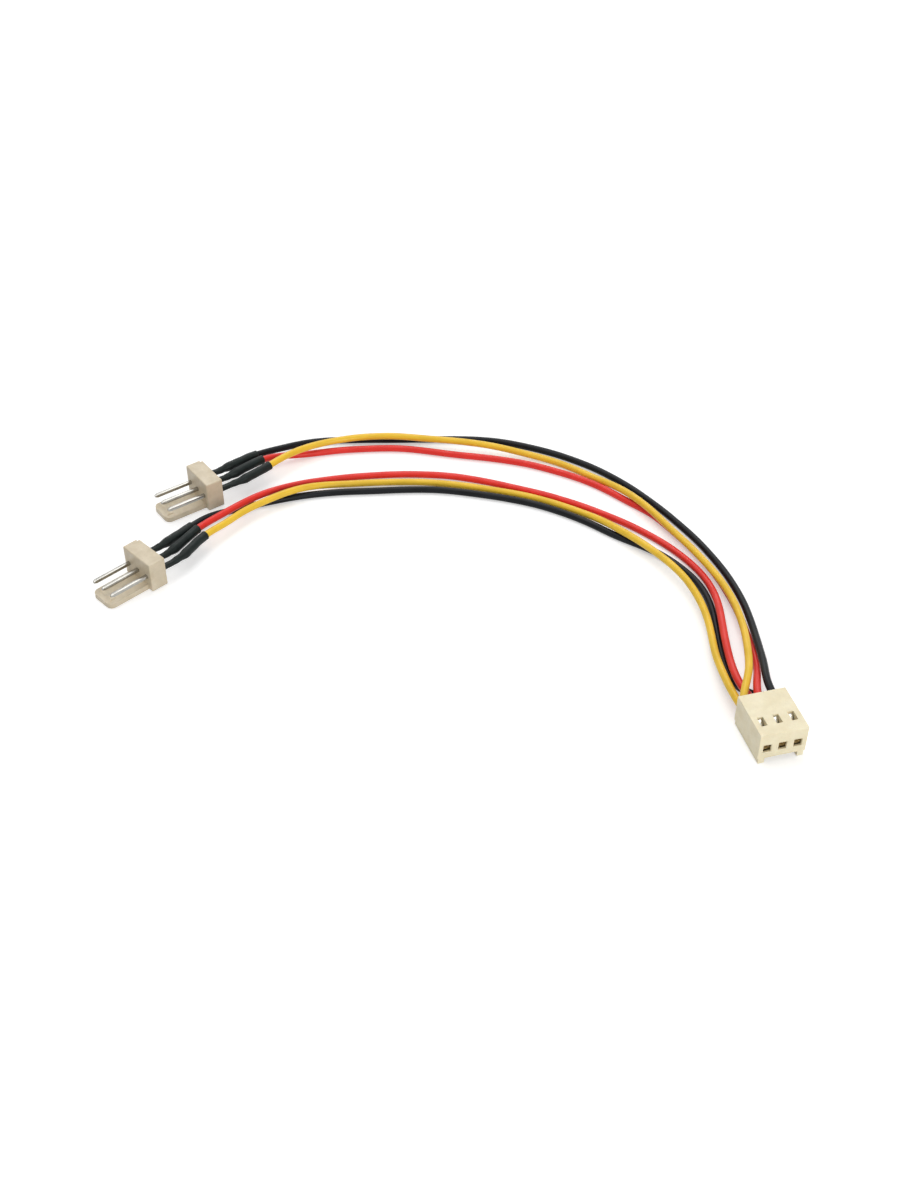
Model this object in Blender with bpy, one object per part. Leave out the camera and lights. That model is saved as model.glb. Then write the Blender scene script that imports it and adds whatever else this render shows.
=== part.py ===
"""Three-pin fan splitter lead: one crimp socket that feeds two pin headers over six loose wires.

Everything lies on the plane z = 0, at real size, in metres. The origin is on that plane, under the
middle of the three connectors. X runs along the lead, from the two headers to the socket.

Each connector is modelled in a frame of its own and stands on an empty. In that frame the contacts
are spaced along X, the wires leave towards +Y, and z = 0 is the table.
"""

import math

import bmesh
import bpy
import numpy as np
from mathutils import Vector

MM = 0.001

# Contacts: the pitch that all three connectors share
PITCH = 2.54 * MM
COLOURS = ("black", "red", "yellow")
HEADER_SLOT = {"black": -1, "red": 0, "yellow": 1}
SOCKET_SLOT = {"black": 1, "red": 0, "yellow": -1}
BRANCHES = ("a", "b")

# Clearances between pieces that meet, and how far a cutter runs past the face it opens
FIT_GAP = 0.1 * MM
FACE_GAP = 0.3 * MM
CUT_PAST = 1.0 * MM

# Wires
WIRE_DIAMETER = 1.3 * MM
WIRE_STEP = 3.0 * MM
TANGENT_REACH = 0.1 * MM

# Crimp socket
SOCKET_WIDTH = 8.0 * MM
SOCKET_LENGTH = 9.1 * MM
SOCKET_HEIGHT = 5.08 * MM
SOCKET_EDGE = 0.22 * MM
RIB_HEIGHT = 1.0 * MM
RIB_WIDTH = 1.1 * MM
RIB_INSET = 0.2 * MM
FRONT_WALL = 0.5 * MM
FLOOR_WALL = 0.7 * MM
CAVITY_WIDTH = 2.1 * MM
CAVITY_HEIGHT = 3.3 * MM
ENTRY_WIDTH = 1.3 * MM
ENTRY_CENTRE = 2.0 * MM
WINDOW_WIDTH = 1.0 * MM
WINDOW_LENGTH = 1.9 * MM
WINDOW_CENTRE = 3.0 * MM
SOCKET_PLACE = (54.4 * MM, -38.4 * MM, math.radians(15))

# Crimp contact inside each cavity
CONTACT_BOX = 1.8 * MM
CONTACT_SHEET = 0.22 * MM
CONTACT_BOX_LENGTH = 3.4 * MM
CONTACT_STRIP_LENGTH = 1.9 * MM
CONTACT_STRIP_WIDTH = 1.2 * MM
CRIMP_LENGTH = 0.9 * MM
CRIMP_WIDTH = 1.5 * MM
CRIMP_HEIGHT = 2.9 * MM
CRIMP_BEVEL = 0.37 * MM
TANG_WIDTH = 0.7 * MM
TANG_LENGTH = 1.5 * MM
TANG_RISE = 1.9 * MM
WIRE_SPACING = 1.7 * MM

# Pin headers
HEADER_WIDTH = 7.62 * MM
HEADER_HEIGHT = 5.8 * MM
HEADER_DEPTH = 3.3 * MM
HEADER_EDGE = 0.2 * MM
NOTCH_SIZE = 0.55 * MM
WALL_WIDTH = 5.3 * MM
WALL_LENGTH = 8.0 * MM
WALL_THICKNESS = 1.0 * MM
WALL_CORNER = 0.9 * MM
WALL_SINK = 0.8 * MM
RAMP_WIDTH = 3.4 * MM
RAMP_LENGTH = 1.5 * MM
RAMP_HEIGHT = 0.35 * MM
RAMP_CREST = 0.5 * MM
RAMP_FROM_TIP = 0.5 * MM
PIN_WIDTH = 0.64 * MM
PIN_LENGTH = 7.5 * MM
PIN_TAIL = 3.4 * MM
PIN_CENTRE = 2.8 * MM
PIN_TIP = 0.5 * MM
PIN_TAIL_TIP = 0.25 * MM
PIN_TIP_WIDTH = 0.34 * MM
HEADER_PLACES = {
    "a": (-50.9 * MM, 4.0 * MM, math.radians(-45.5)),
    "b": (-43.3 * MM, 27.3 * MM, math.radians(-54)),
}

# Heat-shrink sleeves over the soldered joints, measured from the back of the header
SLEEVE_START = 0.3 * MM
SLEEVE_LENGTH = 11.0 * MM
SLEEVE_STEP = 1.2 * MM
SLEEVE_WALL = 0.18 * MM
SLEEVE_FIT = 0.15 * MM
SLEEVE_SIDES = 12
SLEEVE_RING_STEP = 1.6 * MM
JOINT_LENGTH = 1.7 * MM
JOINT_DIAMETER = 0.95 * MM
JOINT_END_DIAMETER = 0.7 * MM

# Heights of the two wires that share a cavity of the socket
LOWER_WIRE = RIB_HEIGHT + FLOOR_WALL + FIT_GAP + WIRE_DIAMETER / 2
WIRE_LEVEL = {"a": LOWER_WIRE, "b": LOWER_WIRE + WIRE_SPACING}

# The wires' routes between a header and the socket, header end first, in millimetres: x, y and the
# height of the centre line. A wire that lies on the table is half its diameter up, and a wire that
# crosses another goes over it in a long low hump.
ROUTES = {
    ("a", "black"): (
        (-43.0, 17.3, 2.1), (-40.1, 21.1, 1.3), (-36.6, 23.4, 0.8), (-32.5, 25.2, 0.68),
        (-28.0, 26.8, 0.68), (-20.0, 28.7, 0.68), (-10.0, 29.5, 0.68), (0.0, 29.8, 0.68),
        (9.5, 28.2, 0.68), (18.0, 25.7, 0.68), (25.3, 22.0, 0.68), (30.0, 18.65, 0.68),
        (34.0, 15.5, 0.68), (38.4, 12.6, 0.68), (42.9, 8.3, 0.68), (46.2, 3.2, 0.68),
        (47.8, -2.4, 0.68), (48.15, -9.0, 0.68), (48.2, -15.0, 0.68), (48.6, -19.3, 0.7),
        (49.9, -23.3, 1.0), (52.5, -26.4, 1.9),
    ),
    ("a", "red"): (
        (-41.8, 15.5, 2.8), (-38.4, 19.8, 2.4), (-34.8, 23.5, 2.3), (-31.2, 26.9, 1.9),
        (-27.2, 29.9, 1.25), (-21.5, 32.4, 0.75), (-14.0, 33.9, 0.68), (-4.0, 34.6, 0.68),
        (5.0, 33.7, 0.68), (14.5, 30.7, 0.68), (22.0, 27.7, 0.68), (29.0, 23.9, 0.68),
        (36.0, 19.0, 0.68), (42.6, 12.6, 0.68), (46.8, 6.15, 0.8), (48.6, 0.2, 1.3),
        (49.0, -6.0, 1.95), (48.9, -12.6, 2.25), (49.1, -19.1, 2.35), (50.1, -24.9, 2.5),
    ),
    ("a", "yellow"): (
        (-40.3, 13.7, 2.7), (-37.2, 17.55, 2.4), (-34.6, 20.8, 2.25), (-31.2, 23.9, 2.2),
        (-27.8, 26.2, 2.3), (-23.8, 28.5, 2.1), (-18.5, 30.8, 1.1), (-12.0, 31.9, 0.68),
        (-4.0, 32.2, 0.68), (5.0, 31.2, 0.68), (12.0, 29.5, 0.68), (18.1, 27.6, 0.7),
        (25.4, 23.9, 0.8), (29.2, 21.1, 1.15), (32.6, 17.4, 1.9), (35.7, 14.0, 2.2),
        (38.75, 10.5, 2.25), (41.7, 6.5, 2.25), (44.2, 2.1, 2.1), (45.95, -3.0, 1.8),
        (46.85, -9.4, 1.6), (46.95, -15.7, 1.7), (47.35, -19.9, 1.95), (48.25, -25.4, 2.4),
    ),
    ("b", "black"): (
        (-33.7, 38.4, 2.4), (-29.4, 41.9, 1.4), (-25.7, 44.2, 0.85), (-21.5, 45.4, 0.68),
        (-15.0, 45.8, 0.68), (-5.0, 45.9, 0.68), (5.0, 46.0, 0.68), (11.1, 45.5, 0.68),
        (17.0, 43.9, 0.68), (24.4, 40.6, 0.68), (31.7, 35.6, 0.68), (38.6, 28.4, 0.68),
        (44.0, 20.8, 0.68), (48.1, 13.7, 0.68), (50.9, 7.2, 0.75), (52.95, -0.2, 1.1),
        (53.85, -7.0, 1.6), (54.05, -11.6, 2.1), (54.1, -16.0, 2.8), (54.05, -20.6, 3.5),
        (53.9, -25.4, 4.1),
    ),
    ("b", "red"): (
        (-32.4, 36.5, 2.6), (-29.6, 38.8, 1.8), (-25.5, 40.6, 0.9), (-19.8, 42.0, 0.68),
        (-12.1, 42.9, 0.68), (-5.0, 42.8, 0.68), (2.0, 41.4, 0.68), (9.0, 40.1, 0.68),
        (16.7, 38.3, 0.68), (24.1, 35.2, 0.68), (31.4, 30.6, 0.68), (36.2, 26.2, 0.68),
        (40.0, 22.6, 0.68), (43.2, 18.0, 0.68), (46.4, 12.6, 0.68), (49.3, 6.4, 0.68),
        (51.4, -0.2, 0.68), (52.6, -6.8, 0.8), (53.1, -11.6, 1.0), (53.35, -16.2, 1.6),
        (53.05, -20.8, 2.45), (52.1, -26.1, 4.0),
    ),
    ("b", "yellow"): (
        (-31.0, 34.2, 2.8), (-27.4, 37.8, 2.9), (-23.5, 40.9, 2.6), (-17.9, 43.6, 2.25),
        (-8.3, 45.0, 2.15), (-0.6, 44.1, 2.15), (7.1, 43.0, 2.05), (12.5, 42.1, 1.6),
        (18.6, 40.5, 0.95), (25.0, 37.6, 0.68), (29.5, 34.2, 0.75), (33.5, 30.35, 1.4),
        (36.9, 26.1, 2.05), (39.9, 21.6, 2.2), (42.8, 16.4, 2.2), (45.8, 11.1, 2.2),
        (48.7, 5.2, 2.2), (51.0, -1.4, 2.3), (52.0, -7.5, 2.5), (52.2, -11.5, 2.8),
        (52.0, -16.5, 3.35), (51.4, -21.9, 3.95), (50.15, -26.6, 4.2),
    ),
}

# Finishes: colour, roughness and metallic value
FINISHES = {
    "cream_nylon": ((0.83, 0.76, 0.60), 0.45, 0.0),
    "tinned_pin": ((0.72, 0.72, 0.70), 0.25, 1.0),
    "tinned_contact": ((0.58, 0.48, 0.30), 0.35, 1.0),
    "solder": ((0.62, 0.62, 0.62), 0.35, 1.0),
    "black_sleeve": ((0.012, 0.014, 0.014), 0.5, 0.0),
    "black_wire": ((0.012, 0.013, 0.015), 0.3, 0.0),
    "red_wire": ((0.72, 0.035, 0.025), 0.3, 0.0),
    "yellow_wire": ((0.83, 0.48, 0.04), 0.3, 0.0),
}


def clear_scene():
    for obj in list(bpy.data.objects):
        bpy.data.objects.remove(obj, do_unlink=True)


def material(name):
    """The finish of this name, made once."""
    found = bpy.data.materials.get(name)
    if found:
        return found
    colour, roughness, metallic = FINISHES[name]
    made = bpy.data.materials.new(name)
    made.use_nodes = True
    shader = made.node_tree.nodes["Principled BSDF"]
    shader.inputs["Base Color"].default_value = (*colour, 1.0)
    shader.inputs["Roughness"].default_value = roughness
    shader.inputs["Metallic"].default_value = metallic
    return made


def place(name, data, finish, parent=None):
    """An object of this mesh or curve, with its finish, standing in its connector's frame."""
    obj = bpy.data.objects.new(name, data)
    bpy.context.scene.collection.objects.link(obj)
    obj.parent = parent
    if not data.materials:
        data.materials.append(material(finish))
    return obj


def connector_frame(name, spot):
    """An empty on the table that carries one connector."""
    x, y, heading = spot
    frame = bpy.data.objects.new(name, None)
    bpy.context.scene.collection.objects.link(frame)
    frame.location = (x, y, 0.0)
    frame.rotation_euler = (0.0, 0.0, heading)
    return frame


def mesh_from(name, build):
    """A mesh that the function build fills in, with its faces turned out."""
    shape = bmesh.new()
    build(shape)
    bmesh.ops.recalc_face_normals(shape, faces=shape.faces)
    mesh = bpy.data.meshes.new(name)
    shape.to_mesh(mesh)
    shape.free()
    return mesh


def add_box(shape, low, high):
    """Adds a box between two corners."""
    made = bmesh.ops.create_cube(shape, size=1.0)["verts"]
    middle = [(a + b) / 2 for a, b in zip(low, high)]
    size = [b - a for a, b in zip(low, high)]
    bmesh.ops.scale(shape, vec=size, verts=made)
    bmesh.ops.translate(shape, vec=middle, verts=made)


def box_mesh(name, *corner_pairs):
    def build(shape):
        for low, high in corner_pairs:
            add_box(shape, low, high)

    return mesh_from(name, build)


def prism_mesh(name, outline, travel):
    """An outline of points, closed and carried along a straight travel."""

    def build(shape):
        face = shape.faces.new([shape.verts.new(point) for point in outline])
        grown = bmesh.ops.extrude_face_region(shape, geom=[face])["geom"]
        moved = [item for item in grown if isinstance(item, bmesh.types.BMVert)]
        bmesh.ops.translate(shape, vec=travel, verts=moved)

    return mesh_from(name, build)


def loft_mesh(name, rings, closed_loop=False):
    """Rings of equally many points, bridged in turn. A closed loop joins the last to the first."""

    def build(shape):
        loops = [[shape.verts.new(point) for point in ring] for ring in rings]
        pairs = list(zip(loops, loops[1:]))
        if closed_loop:
            pairs.append((loops[-1], loops[0]))
        for near, far in pairs:
            for i in range(len(near)):
                j = (i + 1) % len(near)
                shape.faces.new((near[i], near[j], far[j], far[i]))
        if not closed_loop:
            shape.faces.new(loops[0])
            shape.faces.new(loops[-1])

    return mesh_from(name, build)


def boolean(obj, name, operation, mesh):
    """Joins or cuts obj with a hidden helper in the same frame."""
    helper = bpy.data.objects.new(obj.name + "_" + name, mesh)
    bpy.context.scene.collection.objects.link(helper)
    helper.parent = obj.parent
    helper.hide_render = True
    helper.display_type = "WIRE"
    modifier = obj.modifiers.new(name, "BOOLEAN")
    modifier.operation = operation
    modifier.solver = "EXACT"
    modifier.object = helper


def soften(obj, width, segments=2):
    modifier = obj.modifiers.new("edges", "BEVEL")
    modifier.width = width
    modifier.segments = segments
    modifier.limit_method = "ANGLE"
    modifier.use_clamp_overlap = True


def smooth_curve(points, samples=1500):
    """A cubic curve through all the points, bending evenly, straight at both ends."""
    points = np.array(points, dtype=float)
    knots = np.concatenate([[0.0], np.cumsum(np.linalg.norm(np.diff(points, axis=0), axis=1))])
    spans = np.diff(knots)
    slopes = np.diff(points, axis=0) / spans[:, None]
    count = len(points)
    system = np.eye(count)
    right = np.zeros_like(points)
    for i in range(1, count - 1):
        system[i, i - 1] = spans[i - 1]
        system[i, i] = 2 * (spans[i - 1] + spans[i])
        system[i, i + 1] = spans[i]
        right[i] = 6 * (slopes[i] - slopes[i - 1])
    bends = np.linalg.solve(system, right)
    where = np.linspace(0.0, knots[-1], samples)
    span = np.clip(np.searchsorted(knots, where, side="right") - 1, 0, count - 2)
    width = spans[span][:, None]
    before = (knots[span + 1] - where)[:, None] / width
    after = 1.0 - before
    line = before * points[span] + after * points[span + 1]
    curve = (before**3 - before) * bends[span] + (after**3 - after) * bends[span + 1]
    return line + curve * width**2 / 6


class Route:
    """A smooth line through a wire's points, read by the distance along it."""

    def __init__(self, points):
        self.line = smooth_curve(points)
        steps = np.linalg.norm(np.diff(self.line, axis=0), axis=1)
        self.distance = np.concatenate([[0.0], np.cumsum(steps)])
        self.length = self.distance[-1]

    def point(self, at):
        return Vector([float(np.interp(at, self.distance, self.line[:, k])) for k in range(3)])

    def direction(self, at):
        return (self.point(at + TANGENT_REACH) - self.point(at - TANGENT_REACH)).normalized()

    def ring(self, at, radius, sides):
        """A ring of points round the line, square to it."""
        forward = self.direction(at)
        side = forward.cross(Vector((0, 0, 1))).normalized()
        up = side.cross(forward)
        centre = self.point(at)
        turns = [2 * math.pi * (i + 0.5) / sides for i in range(sides)]
        return [centre + radius * (math.cos(t) * side + math.sin(t) * up) for t in turns]


def in_world(spot, x, y, z):
    """A point of a connector's own frame, in world space."""
    cx, cy, heading = spot
    c, s = math.cos(heading), math.sin(heading)
    return (cx + c * x - s * y, cy + s * x + c * y, z)


def wire_route(branch, colour):
    """From the pin inside the header, over the table, to the crimp inside the socket."""
    pin_x = HEADER_SLOT[colour] * PITCH
    header = HEADER_PLACES[branch]
    stations = (0.0, HEADER_DEPTH, HEADER_DEPTH + PIN_TAIL)
    start = [in_world(header, pin_x, y, PIN_CENTRE) for y in stations]
    middle = [tuple(value * MM for value in point) for point in ROUTES[branch, colour]]
    slot_x = SOCKET_SLOT[colour] * PITCH
    stations = (SOCKET_LENGTH, crimp_back() + FACE_GAP)
    end = [in_world(SOCKET_PLACE, slot_x, y, WIRE_LEVEL[branch]) for y in stations]
    return Route(start + middle + end)


def crimp_back():
    """How far behind the socket's front face its contacts' crimps end."""
    box_end = FRONT_WALL + FACE_GAP + CONTACT_BOX_LENGTH
    return box_end + CONTACT_STRIP_LENGTH + CRIMP_LENGTH


def make_socket_housing(frame):
    """The cream housing: three through cavities, an entry and a latch window each, two ribs below."""
    half = SOCKET_WIDTH / 2
    floor = RIB_HEIGHT
    roof = RIB_HEIGHT + SOCKET_HEIGHT
    rib_out = half - RIB_INSET
    rib_in = rib_out - RIB_WIDTH
    across = [
        (-half, floor), (-rib_out, floor), (-rib_out, 0.0), (-rib_in, 0.0), (-rib_in, floor),
        (rib_in, floor), (rib_in, 0.0), (rib_out, 0.0), (rib_out, floor), (half, floor),
        (half, roof), (-half, roof),
    ]
    outline = [(x, 0.0, z) for x, z in across]
    body = place("socket_housing", prism_mesh("socket_housing", outline, (0, SOCKET_LENGTH, 0)),
                 "cream_nylon", frame)
    soften(body, SOCKET_EDGE)
    slots = [slot * PITCH for slot in (-1, 0, 1)]
    low = floor + FLOOR_WALL
    cavities = [
        ((x - CAVITY_WIDTH / 2, FRONT_WALL, low),
         (x + CAVITY_WIDTH / 2, SOCKET_LENGTH + CUT_PAST, low + CAVITY_HEIGHT))
        for x in slots
    ]
    middle = floor + ENTRY_CENTRE
    entries = [
        ((x - ENTRY_WIDTH / 2, -CUT_PAST, middle - ENTRY_WIDTH / 2),
         (x + ENTRY_WIDTH / 2, FRONT_WALL + CUT_PAST, middle + ENTRY_WIDTH / 2))
        for x in slots
    ]
    window_front = WINDOW_CENTRE - WINDOW_LENGTH / 2
    windows = [
        ((x - WINDOW_WIDTH / 2, window_front, low + CAVITY_HEIGHT - CUT_PAST),
         (x + WINDOW_WIDTH / 2, window_front + WINDOW_LENGTH, roof + CUT_PAST))
        for x in slots
    ]
    boolean(body, "cavities", "DIFFERENCE", box_mesh("socket_cavities", *cavities))
    boolean(body, "entries", "DIFFERENCE", box_mesh("socket_entries", *entries))
    boolean(body, "windows", "DIFFERENCE", box_mesh("socket_windows", *windows))


def make_contact(frame, colour):
    """A folded tin contact: spring box, floor strip, crimp, and the tang that latches in the window."""
    x = SOCKET_SLOT[colour] * PITCH
    middle = RIB_HEIGHT + ENTRY_CENTRE
    half = CONTACT_BOX / 2
    bore = half - CONTACT_SHEET
    front = FRONT_WALL + FACE_GAP
    box_end = front + CONTACT_BOX_LENGTH
    crimp_start = box_end + CONTACT_STRIP_LENGTH
    floor = middle - half
    name = "socket_contact_" + colour
    body = place(name, box_mesh(name, ((x - half, front, floor), (x + half, box_end, middle + half))),
                 "tinned_contact", frame)
    hollow = box_mesh("contact_bore", ((x - bore, front - CUT_PAST, middle - bore),
                                       (x + bore, box_end + CUT_PAST, middle + bore)))
    boolean(body, "bore", "DIFFERENCE", hollow)
    strip = box_mesh("contact_strip", (
        (x - CONTACT_STRIP_WIDTH / 2, box_end - CONTACT_SHEET, floor),
        (x + CONTACT_STRIP_WIDTH / 2, crimp_start + CRIMP_LENGTH / 2, floor + CONTACT_SHEET)))
    boolean(body, "strip", "UNION", strip)
    crimp_low = RIB_HEIGHT + FLOOR_WALL + FIT_GAP
    crimp_top = crimp_low + CRIMP_HEIGHT
    outline = [
        (x - CRIMP_WIDTH / 2, crimp_start, crimp_low),
        (x + CRIMP_WIDTH / 2, crimp_start, crimp_low),
        (x + CRIMP_WIDTH / 2, crimp_start, crimp_top - CRIMP_BEVEL),
        (x + CRIMP_WIDTH / 2 - CRIMP_BEVEL, crimp_start, crimp_top),
        (x - CRIMP_WIDTH / 2 + CRIMP_BEVEL, crimp_start, crimp_top),
        (x - CRIMP_WIDTH / 2, crimp_start, crimp_top - CRIMP_BEVEL),
    ]
    crimp = prism_mesh("contact_crimp", outline, (0, CRIMP_LENGTH, 0))
    boolean(body, "crimp", "UNION", crimp)
    tang_root = WINDOW_CENTRE - TANG_LENGTH / 2
    top = middle + half - CONTACT_SHEET / 2
    outline = [
        (x - TANG_WIDTH / 2, tang_root, top),
        (x - TANG_WIDTH / 2, tang_root + TANG_LENGTH, top + TANG_RISE),
        (x - TANG_WIDTH / 2, tang_root + TANG_LENGTH, top + TANG_RISE - CONTACT_SHEET),
        (x - TANG_WIDTH / 2, tang_root + 2 * CONTACT_SHEET, top - CONTACT_SHEET / 4),
    ]
    boolean(body, "tang", "UNION", prism_mesh("contact_tang", outline, (TANG_WIDTH, 0, 0)))


def make_header_housing(branch, frame):
    """The cream base that holds three pins, with its friction wall lying along the table."""
    half = HEADER_WIDTH / 2
    name = "header_housing_" + branch
    base = box_mesh(name, ((-half, 0.0, 0.0), (half, HEADER_DEPTH, HEADER_HEIGHT)))
    body = place(name, base, "cream_nylon", frame)
    soften(body, HEADER_EDGE)
    side = WALL_WIDTH / 2
    tip = -WALL_LENGTH
    outline = [
        (-side, WALL_SINK, 0.0), (side, WALL_SINK, 0.0), (side, tip + WALL_CORNER, 0.0),
        (side - WALL_CORNER, tip, 0.0), (WALL_CORNER - side, tip, 0.0),
        (-side, tip + WALL_CORNER, 0.0),
    ]
    boolean(body, "wall", "UNION", prism_mesh("header_wall", outline, (0, 0, WALL_THICKNESS)))
    ramp_tip = tip + RAMP_FROM_TIP
    sunk = WALL_THICKNESS / 2
    outline = [
        (-RAMP_WIDTH / 2, ramp_tip, sunk),
        (-RAMP_WIDTH / 2, ramp_tip + RAMP_LENGTH, sunk),
        (-RAMP_WIDTH / 2, ramp_tip + RAMP_LENGTH, WALL_THICKNESS),
        (-RAMP_WIDTH / 2, ramp_tip + RAMP_CREST, WALL_THICKNESS + RAMP_HEIGHT),
        (-RAMP_WIDTH / 2, ramp_tip, WALL_THICKNESS),
    ]
    boolean(body, "ramp", "UNION", prism_mesh("header_ramp", outline, (RAMP_WIDTH, 0, 0)))
    hole = PIN_WIDTH / 2 + FIT_GAP
    holes = [
        ((slot * PITCH - hole, -CUT_PAST, PIN_CENTRE - hole),
         (slot * PITCH + hole, HEADER_DEPTH + CUT_PAST, PIN_CENTRE + hole))
        for slot in (-1, 0, 1)
    ]
    boolean(body, "pin_holes", "DIFFERENCE", box_mesh("header_pin_holes", *holes))
    notch = box_mesh("header_notch", (
        (-half - CUT_PAST, HEADER_DEPTH - NOTCH_SIZE, HEADER_HEIGHT - NOTCH_SIZE),
        (NOTCH_SIZE - half, HEADER_DEPTH + CUT_PAST, HEADER_HEIGHT + CUT_PAST)))
    boolean(body, "notch", "DIFFERENCE", notch)


def square(x, y, z, width):
    h = width / 2
    return [(x - h, y, z - h), (x + h, y, z - h), (x + h, y, z + h), (x - h, y, z + h)]


def make_pin(branch, colour, frame):
    """A square pin, pointed at its free end, with its tail behind the base."""
    x = HEADER_SLOT[colour] * PITCH
    back = HEADER_DEPTH + PIN_TAIL
    stations = (
        (-PIN_LENGTH, PIN_TIP_WIDTH),
        (PIN_TIP - PIN_LENGTH, PIN_WIDTH),
        (back - PIN_TAIL_TIP, PIN_WIDTH),
        (back, PIN_TIP_WIDTH),
    )
    rings = [square(x, y, PIN_CENTRE, width) for y, width in stations]
    name = "header_pin_%s_%s" % (branch, colour)
    place(name, loft_mesh(name, rings), "tinned_pin", frame)


def make_sleeve(branch, colour, route):
    """A shrunk tube: tight on the pin's tail, wider over the wire, open at both ends."""
    narrow = PIN_WIDTH / math.sqrt(2) + FIT_GAP
    wide = WIRE_DIAMETER / 2 + SLEEVE_FIT
    start = HEADER_DEPTH + SLEEVE_START
    tail_end = HEADER_DEPTH + PIN_TAIL
    end = start + SLEEVE_LENGTH
    stations = [(start, narrow), ((start + tail_end) / 2, narrow), (tail_end, narrow)]
    ring_at = tail_end + SLEEVE_STEP
    count = max(1, round((end - ring_at) / SLEEVE_RING_STEP))
    stations += [(ring_at + (end - ring_at) * i / count, wide) for i in range(count + 1)]
    outer = [route.ring(at, bore + SLEEVE_WALL, SLEEVE_SIDES) for at, bore in stations]
    inner = [route.ring(at, bore, SLEEVE_SIDES) for at, bore in reversed(stations)]
    name = "heat_shrink_%s_%s" % (branch, colour)
    mesh = loft_mesh(name, outer + inner, closed_loop=True)
    mesh.shade_smooth()
    place(name, mesh, "black_sleeve")


def joint_end():
    """Where the wire's insulation starts, inside its sleeve."""
    return HEADER_DEPTH + PIN_TAIL + FIT_GAP + JOINT_LENGTH


def make_solder_joint(branch, colour, route):
    """The blob of solder and bare strands between the pin's tail and the insulation."""
    start = HEADER_DEPTH + PIN_TAIL + FIT_GAP
    stations = (
        (start, JOINT_END_DIAMETER),
        (start + JOINT_LENGTH / 2, JOINT_DIAMETER),
        (start + JOINT_LENGTH, JOINT_END_DIAMETER),
    )
    rings = [route.ring(at, width / 2, SLEEVE_SIDES) for at, width in stations]
    name = "solder_joint_%s_%s" % (branch, colour)
    mesh = loft_mesh(name, rings)
    mesh.shade_smooth()
    place(name, mesh, "solder")


def make_wire(branch, colour, route):
    """A plain tube on the smooth route, from its soldered joint to its crimp."""
    start = joint_end() + FIT_GAP
    count = math.ceil((route.length - start) / WIRE_STEP)
    name = "wire_%s_%s" % (branch, colour)
    curve = bpy.data.curves.new(name, "CURVE")
    curve.dimensions = "3D"
    curve.bevel_depth = WIRE_DIAMETER / 2
    curve.bevel_resolution = 2
    curve.use_fill_caps = True
    line = curve.splines.new("POLY")
    line.points.add(count)
    for i, point in enumerate(line.points):
        at = start + (route.length - start) * i / count
        point.co = (*route.point(at), 1.0)
    line.use_smooth = True
    place(name, curve, colour + "_wire")


def main():
    clear_scene()
    socket = connector_frame("socket_frame", SOCKET_PLACE)
    make_socket_housing(socket)
    for colour in COLOURS:
        make_contact(socket, colour)
    for branch in BRANCHES:
        frame = connector_frame("header_frame_" + branch, HEADER_PLACES[branch])
        make_header_housing(branch, frame)
        for colour in COLOURS:
            route = wire_route(branch, colour)
            make_pin(branch, colour, frame)
            make_sleeve(branch, colour, route)
            make_solder_joint(branch, colour, route)
            make_wire(branch, colour, route)


main()
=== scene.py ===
"""The looks of a three-pin fan splitter lead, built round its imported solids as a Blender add-on.

Lengths are metres in the part's own frame: z = 0 is the table, and X runs from the two headers to
the socket. Each connector also has a frame of its own, in which the contacts are spaced along X,
the wires leave towards +Y and z = 0 is the table.
"""

import math

import bmesh
import bpy
import numpy as np
from mathutils import Matrix, Vector


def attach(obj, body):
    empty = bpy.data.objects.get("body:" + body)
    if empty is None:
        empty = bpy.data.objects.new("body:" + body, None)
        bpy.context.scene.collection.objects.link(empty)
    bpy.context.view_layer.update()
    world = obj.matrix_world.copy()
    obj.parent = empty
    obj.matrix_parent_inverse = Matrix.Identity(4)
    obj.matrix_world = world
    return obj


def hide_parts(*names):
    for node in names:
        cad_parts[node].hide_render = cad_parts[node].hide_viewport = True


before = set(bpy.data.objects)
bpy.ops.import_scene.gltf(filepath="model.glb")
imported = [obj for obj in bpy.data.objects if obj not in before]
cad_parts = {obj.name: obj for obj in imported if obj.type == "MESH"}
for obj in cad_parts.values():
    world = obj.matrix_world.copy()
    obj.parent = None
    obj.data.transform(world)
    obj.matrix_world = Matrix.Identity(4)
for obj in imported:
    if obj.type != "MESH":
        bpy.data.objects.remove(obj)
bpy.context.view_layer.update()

BODY = "root"

bl_info = {
    "name": "Fan splitter lead",
    "version": (1, 0, 0),
    "blender": (4, 5, 0),
    "location": "3D View > Sidebar > Fan lead",
    "description": "Builds the wires, sleeves, pins and housings of a fan splitter lead",
    "category": "Object",
}

# The wires of both branches, and the order of the contacts in each connector
PITCH = 0.00254
COLOURS = ("black", "red", "yellow")
BRANCHES = ("a", "b")
WIRES = [(branch, colour) for branch in BRANCHES for colour in COLOURS]
SLOTS = (-1, 0, 1)
HEADER_SLOT = {"black": -1, "red": 0, "yellow": 1}
SOCKET_SLOT = {"black": 1, "red": 0, "yellow": -1}

# Clearances, as the solids keep them
FIT_GAP = 0.0001
FACE_GAP = 0.0003

# How far a cut runs past the face that it opens, and how near to each other points are joined
CUT_PAST = 0.001
MERGE_REACH = 0.000001

# Steps of round corners, segments of rounded edges, and the angle from which an edge is rounded
CORNER_STEPS = 6
SHEET_STEPS = 3
OUTER_SEGMENTS = 4
CUT_SEGMENTS = 2
EDGE_ANGLE = math.radians(35)

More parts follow.
